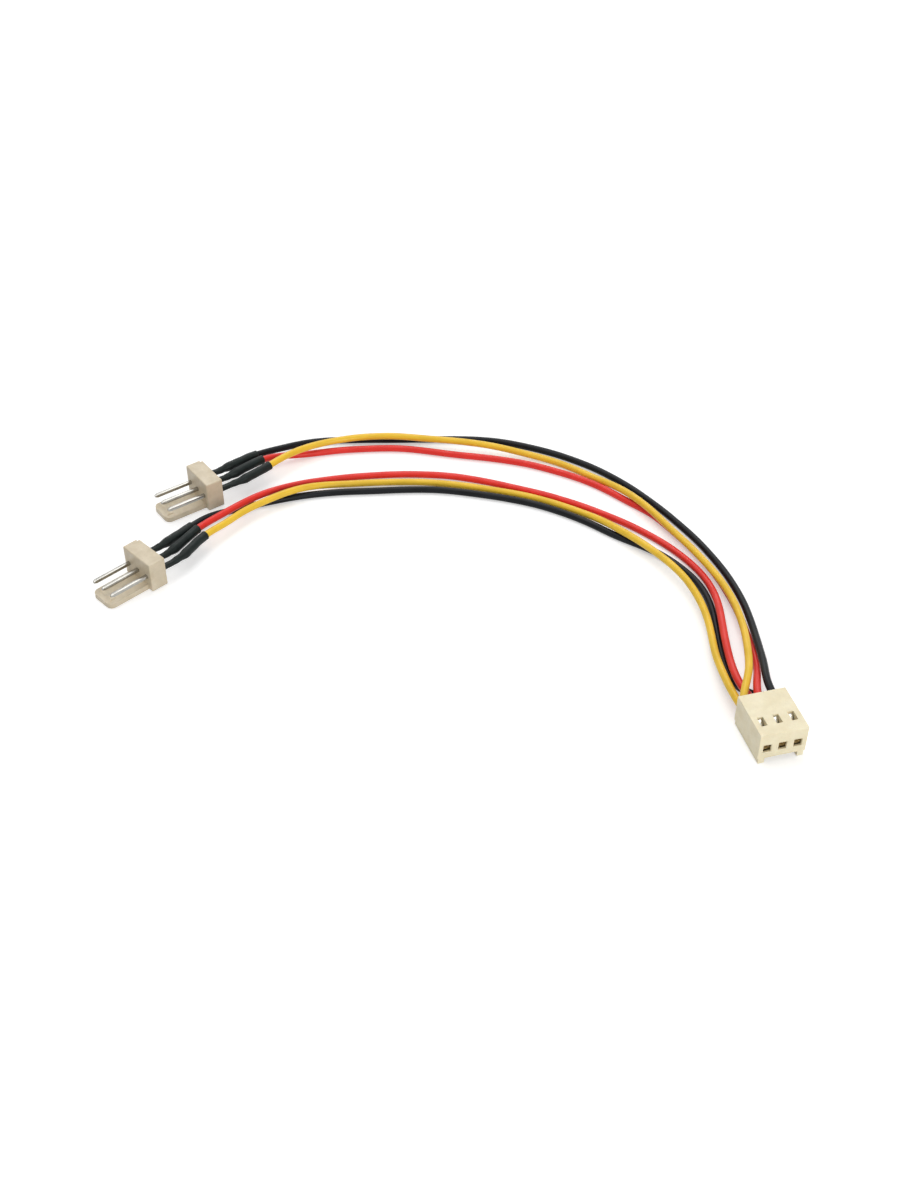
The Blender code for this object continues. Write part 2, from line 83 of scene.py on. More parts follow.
# Crimp socket
SOCKET_PLACE = (0.0544, -0.0384, math.radians(15))
SOCKET_WIDTH = 0.0080
SOCKET_LENGTH = 0.0091
SOCKET_HEIGHT = 0.00508
RIB_HEIGHT = 0.0010
RIB_WIDTH = 0.0011
RIB_INSET = 0.0002
FRONT_WALL = 0.0005
FLOOR_WALL = 0.0007
CAVITY_WIDTH = 0.0021
CAVITY_HEIGHT = 0.0033
ENTRY_WIDTH = 0.0013
ENTRY_HEIGHT = 0.0015
ENTRY_MOUTH = 0.00012
ENTRY_CENTRE = 0.0020
WINDOW_WIDTH = 0.0010
WINDOW_LENGTH = 0.0019
WINDOW_CENTRE = 0.0030

# Crimp contact
CONTACT_BOX = 0.0018
CONTACT_SHEET = 0.00022
CONTACT_ROUND = 0.0003
CONTACT_BOX_LENGTH = 0.0034
CONTACT_STRIP_LENGTH = 0.0019
CONTACT_STRIP_WIDTH = 0.0012
CRIMP_LENGTH = 0.0009
CRIMP_WIDTH = 0.0015
CRIMP_HEIGHT = 0.0029
CRIMP_DIP = 0.0004
CRIMP_BACK = FRONT_WALL + FACE_GAP + CONTACT_BOX_LENGTH + CONTACT_STRIP_LENGTH + CRIMP_LENGTH
TANG_WIDTH = 0.0007
TANG_LENGTH = 0.0015
TANG_RISE = 0.0019
SPRING_WIDTH = 0.0009
SPRING_DROP = 0.0004
SPRING_START = 0.0003
SPRING_SHORTER = 0.0008
SPRING_STEPS = 8
WIRE_SPACING = 0.0017

# Pin header
HEADER_PLACES = {
    "a": (-0.0509, 0.0040, math.radians(-45.5)),
    "b": (-0.0433, 0.0273, math.radians(-54)),
}
HEADER_WIDTH = 0.00762
HEADER_HEIGHT = 0.0058
HEADER_DEPTH = 0.0033
NOTCH_SIZE = 0.00055
WALL_WIDTH = 0.0053
WALL_LENGTH = 0.0080
WALL_THICKNESS = 0.0010
WALL_CORNER = 0.0011
WALL_SINK = 0.0008
RAMP_WIDTH = 0.0034
RAMP_LENGTH = 0.0015
RAMP_HEIGHT = 0.00035
RAMP_CREST = 0.0005
RAMP_FROM_TIP = 0.0005
PIN_HOLE_GAP = 0.00002
PIN_MOUTH = 0.00005
PIN_LENGTH = 0.0075
PIN_TAIL = 0.0034
PIN_CENTRE = 0.0028
PIN_TIP = 0.0005
PIN_TIP_WIDTH = 0.00034

# Shrunk sleeves. The start is measured from the back of the header, the solder's rise back from the
# end of the pin, and the shoulder from there on
SLEEVE_SIDES = 32
SLEEVE_RINGS = 60
SLEEVE_START = 0.0003
SLEEVE_LENGTH = 0.0110
SLEEVE_FIT = 0.00004
SHRUNK_GAP = 0.00006
CORNER_SHARE = 1.28
NECK_SHRINK = 0.00006
SOLDER_RISE_START = 0.0012
SOLDER_RISE_END = 0.0002
SHOULDER_BACK = 0.0009
SHOULDER_SPREAD = 0.0004
SHOULDER_REACH = 0.0007

# Relief of the sleeves. Waves are in radians to the metre, and shares multiply the ripple height
SLEEVE_PHASE = 2.3
SHOULDER_PHASE = 4.1
SHORT_WAVE = 2300
LONG_WAVE = 1250
LONG_WAVE_SHARE = 0.7
LIP_REACH = 0.0003
END_LIP_SHARE = 0.6
WAVE_SHARE = 0.5
FOLD_SHARE = 0.8
LIP_SHARE = 0.9
RELIEF_DROP = 0.7

# Folds of a sleeve: share, how many round it (0 for a swelling), place, distance past it, and reach
FOLDS = (
    (1.0, 5, "shoulder", 0.0, 0.0009),
    (-0.7, -3, "tail_end", -0.0008, 0.0007),
    (1.6, 0, "shoulder", 0.0009, 0.0005),
    (1.2, 0, "tail_end", -0.0003, 0.0005),
)

# Soldered joints
JOINT_SIDES = 36
JOINT_RINGS = 16
JOINT_LENGTH = 0.0017
JOINT_RADIUS = 0.000475
JOINT_END_RADIUS = 0.00035
JOINT_STRANDS = 7
STRAND_RELIEF = 0.000022
STRAND_TURN = 0.0045

# Insulated wires. The swell is a slow change of the radius, in radians to the metre
WIRE_SIDES = 20
WIRE_RIDGES = 3
COLOUR_PHASE = 1.7
BRANCH_PHASE = 0.9
SWELL_WAVE = 310.0
SWELL_BEAT = 127.0
SWELL_SHARE = 0.4

# How many points a smooth curve has, and how far to each side its direction is measured
CURVE_SAMPLES = 1500
AXIS_REACH = 0.0001

# The wires' routes between a header and the socket, header end first
ROUTES = {
    ("a", "black"): (
        (-0.0430, 0.0173, 0.0021), (-0.0401, 0.0211, 0.0013), (-0.0366, 0.0234, 0.0008),
        (-0.0325, 0.0252, 0.00068), (-0.0280, 0.0268, 0.00068), (-0.0200, 0.0287, 0.00068),
        (-0.0100, 0.0295, 0.00068), (0.0000, 0.0298, 0.00068), (0.0095, 0.0282, 0.00068),
        (0.0180, 0.0257, 0.00068), (0.0253, 0.0220, 0.00068), (0.0300, 0.01865, 0.00068),
        (0.0340, 0.0155, 0.00068), (0.0384, 0.0126, 0.00068), (0.0429, 0.0083, 0.00068),
        (0.0462, 0.0032, 0.00068), (0.0478, -0.0024, 0.00068), (0.04815, -0.0090, 0.00068),
        (0.0482, -0.0150, 0.00068), (0.0486, -0.0193, 0.0007), (0.0499, -0.0233, 0.0010),
        (0.0525, -0.0264, 0.0019),
    ),
    ("a", "red"): (
        (-0.0418, 0.0155, 0.0028), (-0.0384, 0.0198, 0.0024), (-0.0348, 0.0235, 0.0023),
        (-0.0312, 0.0269, 0.0019), (-0.0272, 0.0299, 0.00125), (-0.0215, 0.0324, 0.00075),
        (-0.0140, 0.0339, 0.00068), (-0.0040, 0.0346, 0.00068), (0.0050, 0.0337, 0.00068),
        (0.0145, 0.0307, 0.00068), (0.0220, 0.0277, 0.00068), (0.0290, 0.0239, 0.00068),
        (0.0360, 0.0190, 0.00068), (0.0426, 0.0126, 0.00068), (0.0468, 0.00615, 0.0008),
        (0.0486, 0.0002, 0.0013), (0.0490, -0.0060, 0.00195), (0.0489, -0.0126, 0.00225),
        (0.0491, -0.0191, 0.00235), (0.0501, -0.0249, 0.0025),
    ),
    ("a", "yellow"): (
        (-0.0403, 0.0137, 0.0027), (-0.0372, 0.01755, 0.0024), (-0.0346, 0.0208, 0.00225),
        (-0.0312, 0.0239, 0.0022), (-0.0278, 0.0262, 0.0023), (-0.0238, 0.0285, 0.0021),
        (-0.0185, 0.0308, 0.0011), (-0.0120, 0.0319, 0.00068), (-0.0040, 0.0322, 0.00068),
        (0.0050, 0.0312, 0.00068), (0.0120, 0.0295, 0.00068), (0.0181, 0.0276, 0.0007),
        (0.0254, 0.0239, 0.0008), (0.0292, 0.0211, 0.00115), (0.0326, 0.0174, 0.0019),
        (0.0357, 0.0140, 0.0022), (0.03875, 0.0105, 0.00225), (0.0417, 0.0065, 0.00225),
        (0.0442, 0.0021, 0.0021), (0.04595, -0.0030, 0.0018), (0.04685, -0.0094, 0.0016),
        (0.04695, -0.0157, 0.0017), (0.04735, -0.0199, 0.00195), (0.04825, -0.0254, 0.0024),
    ),
    ("b", "black"): (
        (-0.0337, 0.0384, 0.0024), (-0.0294, 0.0419, 0.0014), (-0.0257, 0.0442, 0.00085),
        (-0.0215, 0.0454, 0.00068), (-0.0150, 0.0458, 0.00068), (-0.0050, 0.0459, 0.00068),
        (0.0050, 0.0460, 0.00068), (0.0111, 0.0455, 0.00068), (0.0170, 0.0439, 0.00068),
        (0.0244, 0.0406, 0.00068), (0.0317, 0.0356, 0.00068), (0.0386, 0.0284, 0.00068),
        (0.0440, 0.0208, 0.00068), (0.0481, 0.0137, 0.00068), (0.0509, 0.0072, 0.00075),
        (0.05295, -0.0002, 0.0011), (0.05385, -0.0070, 0.0016), (0.05405, -0.0116, 0.0021),
        (0.0541, -0.0160, 0.0028), (0.05405, -0.0206, 0.0035), (0.0539, -0.0254, 0.0041),
    ),
    ("b", "red"): (
        (-0.0324, 0.0365, 0.0026), (-0.0296, 0.0388, 0.0018), (-0.0255, 0.0406, 0.0009),
        (-0.0198, 0.0420, 0.00068), (-0.0121, 0.0429, 0.00068), (-0.0050, 0.0428, 0.00068),
        (0.0020, 0.0414, 0.00068), (0.0090, 0.0401, 0.00068), (0.0167, 0.0383, 0.00068),
        (0.0241, 0.0352, 0.00068), (0.0314, 0.0306, 0.00068), (0.0362, 0.0262, 0.00068),
        (0.0400, 0.0226, 0.00068), (0.0432, 0.0180, 0.00068), (0.0464, 0.0126, 0.00068),
        (0.0493, 0.0064, 0.00068), (0.0514, -0.0002, 0.00068), (0.0526, -0.0068, 0.0008),
        (0.0531, -0.0116, 0.0010), (0.05335, -0.0162, 0.0016), (0.05305, -0.0208, 0.00245),
        (0.0521, -0.0261, 0.0040),
    ),
    ("b", "yellow"): (
        (-0.0310, 0.0342, 0.0028), (-0.0274, 0.0378, 0.0029), (-0.0235, 0.0409, 0.0026),
        (-0.0179, 0.0436, 0.00225), (-0.0083, 0.0450, 0.00215), (-0.0006, 0.0441, 0.00215),
        (0.0071, 0.0430, 0.00205), (0.0125, 0.0421, 0.0016), (0.0186, 0.0405, 0.00095),
        (0.0250, 0.0376, 0.00068), (0.0295, 0.0342, 0.00075), (0.0335, 0.03035, 0.0014),
        (0.0369, 0.0261, 0.00205), (0.0399, 0.0216, 0.0022), (0.0428, 0.0164, 0.0022),
        (0.0458, 0.0111, 0.0022), (0.0487, 0.0052, 0.0022), (0.0510, -0.0014, 0.0023),
        (0.0520, -0.0075, 0.0025), (0.0522, -0.0115, 0.0028), (0.0520, -0.0165, 0.00335),
        (0.0514, -0.0219, 0.00395), (0.05015, -0.0266, 0.0042),
    ),
}

# The stage: what the photograph's camera looks at, half the side of the table, and the camera's
# sensor in millimetres and range in metres
LOOK_AT = Vector((0.0033, -0.0008, 0.0))
TABLE_REACH = 0.4
SENSOR_WIDTH = 36.0
CLIP_START = 0.005
CLIP_END = 10.0

# Where each square lamp stands, and its side
LAMPS = {
    "key": ((-0.10, 0.10, 0.60), 0.50),
    "front": ((0.35, -0.52, 0.24), 0.36),
    "back": ((0.02, 0.47, 0.41), 0.40),
}

# What the finishes read from a mesh: places in the connector's frame, and a map along a tube
OWN_PLACE = "own_place"
RUN_MAP = "run"


# Settings

def number_setting(name, description, default, low, high, **kind):
    return bpy.props.FloatProperty(
        name=name, description=description, default=default, min=low, max=high, **kind)


def length_setting(name, description, default, low, high, precision=5):
    return number_setting(
        name, description, default, low, high, precision=precision, unit="LENGTH")


def colour_setting(name, description, default):
    return bpy.props.FloatVectorProperty(
        name=name, description=description, subtype="COLOR", size=3, min=0.0, max=1.0, default=default)


class LeadSizes(bpy.types.PropertyGroup):
    """Sizes that a user would change without moving a connector."""

    wire_diameter: length_setting(
        "Wire diameter", "Outer diameter of a wire's insulation", 0.0013, 0.0008, 0.002)
    wire_step: length_setting(
        "Wire step", "Distance between the rings of a wire", 0.0009, 0.0003, 0.004)
    lay_depth: length_setting(
        "Strand relief", "How far the twisted strands show through the insulation",
        0.000009, 0.0, 0.0001, precision=6)
    lay_length: length_setting(
        "Strand lay", "Length of one turn of the twisted strands", 0.009, 0.002, 0.05, precision=4)
    sleeve_wall: length_setting(
        "Sleeve wall", "Thickness of a shrunk sleeve", 0.00017, 0.0001, 0.0004)
    sleeve_ripple: length_setting(
        "Sleeve ripple", "Height of the ripples that shrinking leaves",
        0.00004, 0.0, 0.0001, precision=6)
    housing_edge: length_setting(
        "Housing edge", "Radius of the outer edges of the mouldings", 0.00022, 0.00005, 0.0005)
    cut_edge: length_setting("Cut edge", "Radius at the edges of openings", 0.00005, 0.00001, 0.0002)
    pin_width: length_setting("Pin width", "Side of a square pin", 0.00064, 0.0004, 0.001)
    pin_edge: length_setting("Pin edge", "Flat on the long edges of a pin", 0.00006, 0.00001, 0.0002)


class LeadColours(bpy.types.PropertyGroup):
    """Colours of the mouldings, wires and metals."""

    socket: colour_setting("Socket", "Nylon of the crimp socket", (0.87, 0.79, 0.57))
    header: colour_setting("Header", "Nylon of the pin headers", (0.69, 0.60, 0.45))
    black: colour_setting("Black wire", "Insulation of the black wires", (0.0055, 0.0062, 0.0078))
    red: colour_setting("Red wire", "Insulation of the red wires", (0.80, 0.034, 0.024))
    yellow: colour_setting("Yellow wire", "Insulation of the yellow wires", (0.90, 0.57, 0.038))
    sleeve: colour_setting("Sleeve", "Shrunk sleeves", (0.0055, 0.0085, 0.0078))
    tin: colour_setting("Tin", "Plating of the pins", (0.42, 0.41, 0.38))
    contact_tin: colour_setting("Contact tin", "Plated tangs of the contacts", (0.78, 0.77, 0.73))
    # Painted shade: the darker brown given to the lower part of each contact, which sits in the shade of
    # the entries
    painted_shade_bronze: colour_setting("Contact", "Bare strip inside the socket", (0.64, 0.45, 0.15))
    solder: colour_setting("Solder", "Soldered joints", (0.58, 0.58, 0.57))
    floor: colour_setting("Floor", "Table top", (0.80, 0.80, 0.80))


class LeadStage(bpy.types.PropertyGroup):
    """Camera, lamps and table."""

    lens: number_setting("Lens", "Focal length on a 36 mm sensor", 48.0, 10.0, 200.0)
    distance: length_setting(
        "Distance", "From the camera to the point it looks at", 0.276, 0.05, 2.0, precision=4)
    tilt: number_setting(
        "Tilt", "How far the camera looks down", math.radians(41), 0.0, math.radians(90),
        subtype="ANGLE")
    key_power: number_setting(
        "Key lamp", "Power of the large lamp overhead, in watts", 1.5, 0.0, 50.0)
    front_power: number_setting(
        "Front lamp", "Power of the low lamp in front, in watts", 1.85, 0.0, 50.0)
    back_power: number_setting(
        "Back lamp", "Power of the lamp behind, which the glossy tops reflect, in watts", 1.0, 0.0, 50.0)
    world_level: number_setting(
        "Room light", "Strength of the even light from all round", 0.38, 0.0, 2.0)
    floor_glow: number_setting(
        "Floor glow", "White added to the table as the camera sees it, which thins the shadows",
        0.40, 0.0, 1.0)


# Node trees

def add_node(tree, kind, inputs=None, **settings):
    """A node of this kind. An input is set to a value, or linked where a socket is given."""
    node = tree.nodes.new(kind)
    for name, value in settings.items():
        setattr(node, name, value)
    for name, value in (inputs or {}).items():
        if isinstance(value, bpy.types.NodeSocket):
            tree.links.new(value, node.inputs[name])
        else:
            node.inputs[name].default_value = value
    return node


def noise(tree, vector, scale, detail, roughness):
    """Values of smooth noise, round 0.5."""
    made = add_node(tree, "ShaderNodeTexNoise", {
        "Vector": vector, "Scale": scale, "Detail": detail, "Roughness": roughness})
    return made.outputs[0]


def math_node(tree, operation, first, second):
    return add_node(tree, "ShaderNodeMath", {0: first, 1: second}, operation=operation).outputs[0]


def spread(tree, value, low, high, to_low=0.0, to_high=1.0):
    """Maps a value from one range to another, and keeps it inside."""
    made = add_node(tree, "ShaderNodeMapRange", {
        "Value": value, "From Min": low, "From Max": high, "To Min": to_low, "To Max": to_high})
    return made.outputs[0]


def mix_colours(tree, share, first, second):
    made = add_node(tree, "ShaderNodeMix", {0: share, 6: first, 7: second}, data_type="RGBA")
    return made.outputs[2]


def bump(tree, height, distance):
    inputs = {"Height": height, "Distance": distance, "Strength": 1.0}
    return add_node(tree, "ShaderNodeBump", inputs).outputs[0]


def effect_group(name, inputs, build):
    """A node group made once, from named float inputs and the outputs that build gives."""
    found = bpy.data.node_groups.get(name)
    if found:
        return found
    tree = bpy.data.node_groups.new(name, "ShaderNodeTree")
    for label, value in inputs.items():
        socket = tree.interface.new_socket(name=label, in_out="INPUT", socket_type="NodeSocketFloat")
        socket.default_value = value
    made = build(tree, tree.nodes.new("NodeGroupInput").outputs)
    for label in made:
        kind = "NodeSocketVector" if label == "Normal" else "NodeSocketFloat"
        tree.interface.new_socket(name=label, in_out="OUTPUT", socket_type=kind)
    leave = tree.nodes.new("NodeGroupOutput")
    for label, socket in made.items():
        tree.links.new(socket, leave.inputs[label])
    return tree


def own_place(tree):
    """Places in the frame of the connector that a piece belongs to."""
    return add_node(tree, "ShaderNodeAttribute", attribute_name=OWN_PLACE).outputs["Vector"]


def moulded_skin():
    """Moulded nylon: slow mottling, fine speckle, and the faint relief of a spark-cut mould."""

    def build(tree, given):
        where = own_place(tree)
        mottle = noise(tree, where, given["Mottle scale"], 4.0, 0.6)
        speckle = noise(tree, where, given["Speckle scale"], 2.0, 0.7)
        grain = noise(tree, where, given["Grain scale"], 4.0, 0.65)
        flow = add_node(tree, "ShaderNodeTexWave", {
            "Vector": where, "Scale": given["Flow scale"], "Distortion": 9.0, "Detail": 3.0,
            "Detail Scale": 1.4}, wave_type="BANDS", bands_direction="Y").outputs["Fac"]
        relief = math_node(tree, "ADD", grain, math_node(tree, "MULTIPLY", speckle, 0.5))
        return {
            "Mottle": spread(tree, mottle, 0.32, 0.68),
            "Speckle": spread(tree, speckle, 0.56, 0.70),
            "Flow": flow,
            "Normal": bump(tree, relief, given["Relief"]),
        }

    return effect_group("moulded skin", {
        "Mottle scale": 420.0, "Speckle scale": 5200.0, "Grain scale": 9000.0, "Flow scale": 130.0,
        "Relief": 0.000012}, build)


def drawn_metal():
    """Drawn or stamped metal: streaks along the piece, cloudy plating and small scratches."""

    def build(tree, given):
        where = own_place(tree)
        long_way = add_node(tree, "ShaderNodeVectorMath", {
            0: where, 1: (1.0, 0.04, 1.0)}, operation="MULTIPLY").outputs[0]
        streak = noise(tree, long_way, given["Streak scale"], 5.0, 0.7)
        cloud = noise(tree, where, given["Cloud scale"], 3.0, 0.6)
        return {
            "Streak": spread(tree, streak, 0.35, 0.65),
            "Cloud": spread(tree, cloud, 0.35, 0.65),
            "Normal": bump(tree, streak, given["Relief"]),
        }

    return effect_group("drawn metal", {
        "Streak scale": 9000.0, "Cloud scale": 900.0, "Relief": 0.000006}, build)


def extruded_skin():
    """Soft tube pulled through a die: draw lines along it, dull patches from handling, and grain."""

    def build(tree, given):
        run = add_node(tree, "ShaderNodeUVMap", uv_map=RUN_MAP).outputs[0]
        where = add_node(tree, "ShaderNodeTexCoord").outputs["Object"]
        pulled = add_node(tree, "ShaderNodeVectorMath", {
            0: run, 1: (26.0, 90.0, 1.0)}, operation="MULTIPLY").outputs[0]
        lines = noise(tree, pulled, 1.0, 2.0, 0.5)
        patches = noise(tree, where, given["Patch scale"], 3.0, 0.6)
        grain = noise(tree, where, given["Grain scale"], 3.0, 0.6)
        relief = math_node(tree, "ADD", math_node(tree, "MULTIPLY", lines, given["Line share"]), grain)
        return {
            "Lines": spread(tree, lines, 0.35, 0.65),
            "Patches": spread(tree, patches, 0.38, 0.62),
            "Grain": spread(tree, grain, 0.35, 0.65),
            "Normal": bump(tree, relief, given["Relief"]),
        }

    return effect_group("extruded skin", {
        "Patch scale": 260.0, "Grain scale": 6500.0, "Line share": 0.8, "Relief": 0.000009}, build)


def shaded(colour, factor):
    """A colour made lighter or darker, with its alpha."""
    return (*[min(1.0, channel * factor) for channel in colour], 1.0)


def new_finish(name):
    """An empty material, its node tree and its Principled shader."""
    material = bpy.data.materials.new(name)
    material.use_nodes = True
    tree = material.node_tree
    return material, tree, tree.nodes["Principled BSDF"]


def place_group(tree, group, **values):
    """The outputs of an effect group in this tree, with some of its inputs set."""
    node = tree.nodes.new("ShaderNodeGroup")
    node.node_tree = group
    for label, value in values.items():
        node.inputs[label.replace("_", " ")].default_value = value
    return node.outputs


def overlay(tree, body, mask, amount, colour):
    """Lays a colour over the body, by this amount where the mask is 1."""
    return mix_colours(tree, math_node(tree, "MULTIPLY", mask, amount), body, colour)


def link_skin(tree, shader, skin, body, wear, rough_low, rough_high):
    """Links the shader's colour and relief, and a roughness that follows one mask of the skin."""
    rough = spread(tree, skin[wear], 0.0, 1.0, rough_low, rough_high)
    for label, socket in (("Base Color", body), ("Roughness", rough), ("Normal", skin["Normal"])):
        tree.links.new(socket, shader.inputs[label])


def blank_tree(owner):
    """The node tree of a material or a world, emptied."""
    owner.use_nodes = True
    owner.node_tree.nodes.clear()
    return owner.node_tree


def cream_nylon(name, colour, mottle_depth, relief):
    """Cream nylon with a silky surface, its mottling a little browner in the hollows."""
    material, tree, shader = new_finish(name)
    skin = place_group(tree, moulded_skin(), Relief=relief)
    light = shaded(colour, 1.04)
    dark = (colour[0] * mottle_depth, colour[1] * mottle_depth * 0.97,
            colour[2] * mottle_depth * 0.9, 1.0)
    body = mix_colours(tree, skin["Mottle"], dark, light)
    body = overlay(tree, body, skin["Flow"], 0.22, shaded(colour, 0.90))
    body = overlay(tree, body, skin["Speckle"], 0.35, shaded(colour, 0.80))
    link_skin(tree, shader, skin, body, "Mottle", 0.50, 0.38)
    shader.inputs["IOR"].default_value = 1.53
    shader.inputs["Subsurface Weight"].default_value = 0.12
    shader.inputs["Subsurface Radius"].default_value = (0.6, 0.45, 0.3)
    shader.inputs["Subsurface Scale"].default_value = 0.0012
    return material


def wire_insulation(name, colour, dull, gloss):
    """Soft vinyl insulation with a gentle gloss that handling has dulled in patches."""
    material, tree, shader = new_finish(name)
    skin = place_group(tree, extruded_skin())
    body = mix_colours(tree, skin["Patches"], shaded(colour, 1.0), shaded(colour, dull))
    body = overlay(tree, body, skin["Lines"], 0.25, shaded(colour, 0.82))
    link_skin(tree, shader, skin, body, "Patches", 0.28, 0.42)
    shader.inputs["Specular IOR Level"].default_value = gloss
    return material


def shrunk_tube(colour):
    """Nearly black shrunk sleeve, satin, with stretch lines along it."""
    material, tree, shader = new_finish("shrunk_sleeve")
    skin = place_group(tree, extruded_skin(), Patch_scale=700.0, Line_share=1.6, Relief=0.000016)
    body = mix_colours(tree, skin["Patches"], shaded(colour, 1.0), shaded(colour, 1.9))
    grey = (colour[0] * 2.6, colour[1] * 2.8, colour[2] * 2.8, 1.0)
    body = overlay(tree, body, skin["Grain"], 0.3, grey)
    link_skin(tree, shader, skin, body, "Lines", 0.34, 0.50)
    shader.inputs["Specular IOR Level"].default_value = 0.16
    return material


def plated_metal(name, colour, rough_low, rough_high, relief, painted_shade_colour=None, painted_shade_below=(0.0, 0.0)):
    """Metal with streaks along it and cloudy plating. Below a height it is painted shade instead: a
    darker colour, nearly not metallic.
    """
    material, tree, shader = new_finish(name)
    skin = place_group(tree, drawn_metal(), Relief=relief)
    body = mix_colours(tree, skin["Cloud"], shaded(colour, 0.86), shaded(colour, 1.06))
    if painted_shade_colour:
        # Painted shade: below this height the metal takes the darker brown and is made nearly not
        # metallic, where the contact lies in the socket's shade
        height = add_node(tree, "ShaderNodeSeparateXYZ", {0: own_place(tree)}).outputs["Z"]
        above_painted_shade = spread(tree, height, *painted_shade_below)
        painted_shade_body = mix_colours(tree, skin["Cloud"], shaded(painted_shade_colour, 0.75), shaded(painted_shade_colour, 1.15))
        body = mix_colours(tree, above_painted_shade, painted_shade_body, body)
        tree.links.new(spread(tree, above_painted_shade, 0.0, 1.0, 0.15, 1.0), shader.inputs["Metallic"])
    body = overlay(tree, body, skin["Streak"], 0.25, shaded(colour, 0.72))
    link_skin(tree, shader, skin, body, "Streak", rough_low, rough_high)
    shader.inputs["Metallic"].default_value = 1.0
    return material


# Meshes

def mesh_from(name, build):
    """A mesh that the function build fills in, with its faces turned out."""
    shape = bmesh.new()
    build(shape)
    bmesh.ops.recalc_face_normals(shape, faces=shape.faces)
    mesh = bpy.data.meshes.new(name)
    shape.to_mesh(mesh)
    shape.free()
    return mesh


def box_mesh(*corner_pairs):
    """Boxes, each between its lowest and its highest corner."""

    def build(shape):
        for low, high in corner_pairs:
            made = bmesh.ops.create_cube(shape, size=1.0)["verts"]
            bmesh.ops.scale(shape, vec=[b - a for a, b in zip(low, high)], verts=made)
            bmesh.ops.translate(shape, vec=[(a + b) / 2 for a, b in zip(low, high)], verts=made)

    return mesh_from("boxes", build)


def prism_mesh(outline, travel):
    """An outline of points, closed and carried along a straight travel."""

    def build(shape):
        face = shape.faces.new([shape.verts.new(point) for point in outline])
        grown = bmesh.ops.extrude_face_region(shape, geom=[face])["geom"]
        moved = [item for item in grown if isinstance(item, bmesh.types.BMVert)]
        bmesh.ops.translate(shape, vec=travel, verts=moved)

    return mesh_from("prism", build)


def loft_mesh(*runs, closed_loop=False):
    """Runs of rings of equally many points, each run bridged in turn and capped or closed on itself."""

    def build(shape):
        for rings in runs:
            loops = [[shape.verts.new(point) for point in ring] for ring in rings]
            pairs = list(zip(loops, loops[1:]))
            if closed_loop:
                pairs.append((loops[-1], loops[0]))
            for near, far in pairs:
                for i in range(len(near)):
                    j = (i + 1) % len(near)
                    shape.faces.new((near[i], near[j], far[j], far[i]))
            if not closed_loop:
                shape.faces.new(loops[0])
                shape.faces.new(loops[-1])

    return mesh_from("loft", build)


def mouth_rings(x, z, width, height, front, back, flare):
    """Rings of an upright hole that opens out towards its front face."""

    def loop(y, more):
        w = width / 2 + more
        h = height / 2 + more
        return [(x - w, y, z - h), (x + w, y, z - h), (x + w, y, z + h), (x - w, y, z + h)]

    return [loop(front - CUT_PAST, flare + CUT_PAST), loop(front, flare), loop(front + flare, 0.0),
            loop(back, 0.0)]


def connector_matrix(place):
    """From a connector's own frame to the part's."""
    x, y, heading = place
    return Matrix.Translation((x, y, 0.0)) @ Matrix.Rotation(heading, 4, "Z")


def put(name, mesh, material, matrix=None):
    """An object of this mesh in the scene, with its material."""
    obj = bpy.data.objects.new(name, mesh)
    bpy.context.scene.collection.objects.link(obj)
    if matrix is not None:
        obj.matrix_world = matrix
    mesh.materials.clear()
    mesh.materials.append(material)
    return obj


def settle(obj):
    """Applies the modifiers of obj to its mesh."""
    bpy.context.view_layer.update()
    graph = bpy.context.evaluated_depsgraph_get()
    obj.data = bpy.data.meshes.new_from_object(obj.evaluated_get(graph))
    obj.modifiers.clear()


def carve(obj, operation, mesh):
    """Joins obj with a mesh in the same frame, or cuts it."""
    helper = bpy.data.objects.new("helper", mesh)
    bpy.context.scene.collection.objects.link(helper)
    helper.matrix_world = obj.matrix_world
    modifier = obj.modifiers.new("carve", "BOOLEAN")
    modifier.operation = operation
    modifier.solver = "EXACT"
    modifier.object = helper
    settle(obj)
    bpy.data.objects.remove(helper)


def merge_points(obj):
    """Joins points that fall together, and drops the faces that this leaves without an area."""
    shape = bmesh.new()
    shape.from_mesh(obj.data)
    bmesh.ops.remove_doubles(shape, verts=shape.verts, dist=MERGE_REACH)
    bmesh.ops.dissolve_degenerate(shape, edges=shape.edges, dist=MERGE_REACH)
    shape.to_mesh(obj.data)
    shape.free()


def round_edges(obj, width, segments):
    """Rounds the sharp edges."""
    merge_points(obj)
    modifier = obj.modifiers.new("edges", "BEVEL")
    modifier.width = width
    modifier.segments = segments
    modifier.limit_method = "ANGLE"
    modifier.angle_limit = EDGE_ANGLE
    modifier.use_clamp_overlap = True
    settle(obj)
    merge_points(obj)


def polish(obj, material):
    """Smooth shading that keeps the flat faces flat, with this material on every face."""
    obj.data.shade_smooth()
    modifier = obj.modifiers.new("normals", "WEIGHTED_NORMAL")
    modifier.keep_sharp = True
    settle(obj)
    obj.data.materials.clear()
    obj.data.materials.append(material)


def keep_places(mesh):
    """Writes each point's place in the mesh's present frame, for the finish to read."""
    places = mesh.attributes.new(OWN_PLACE, "FLOAT_VECTOR", "POINT")
    places.data.foreach_set("vector", [value for point in mesh.vertices for value in point.co])


def dress(obj, slot, *nodes):
    """Sends a finished piece out: its mesh stands where it belongs, and it rides on the lead."""
    keep_places(obj.data)
    obj.data.transform(obj.matrix_world)
    obj.matrix_world = Matrix.Identity(4)
    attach(obj, BODY)
    if nodes:
        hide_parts(*nodes)


# Wires

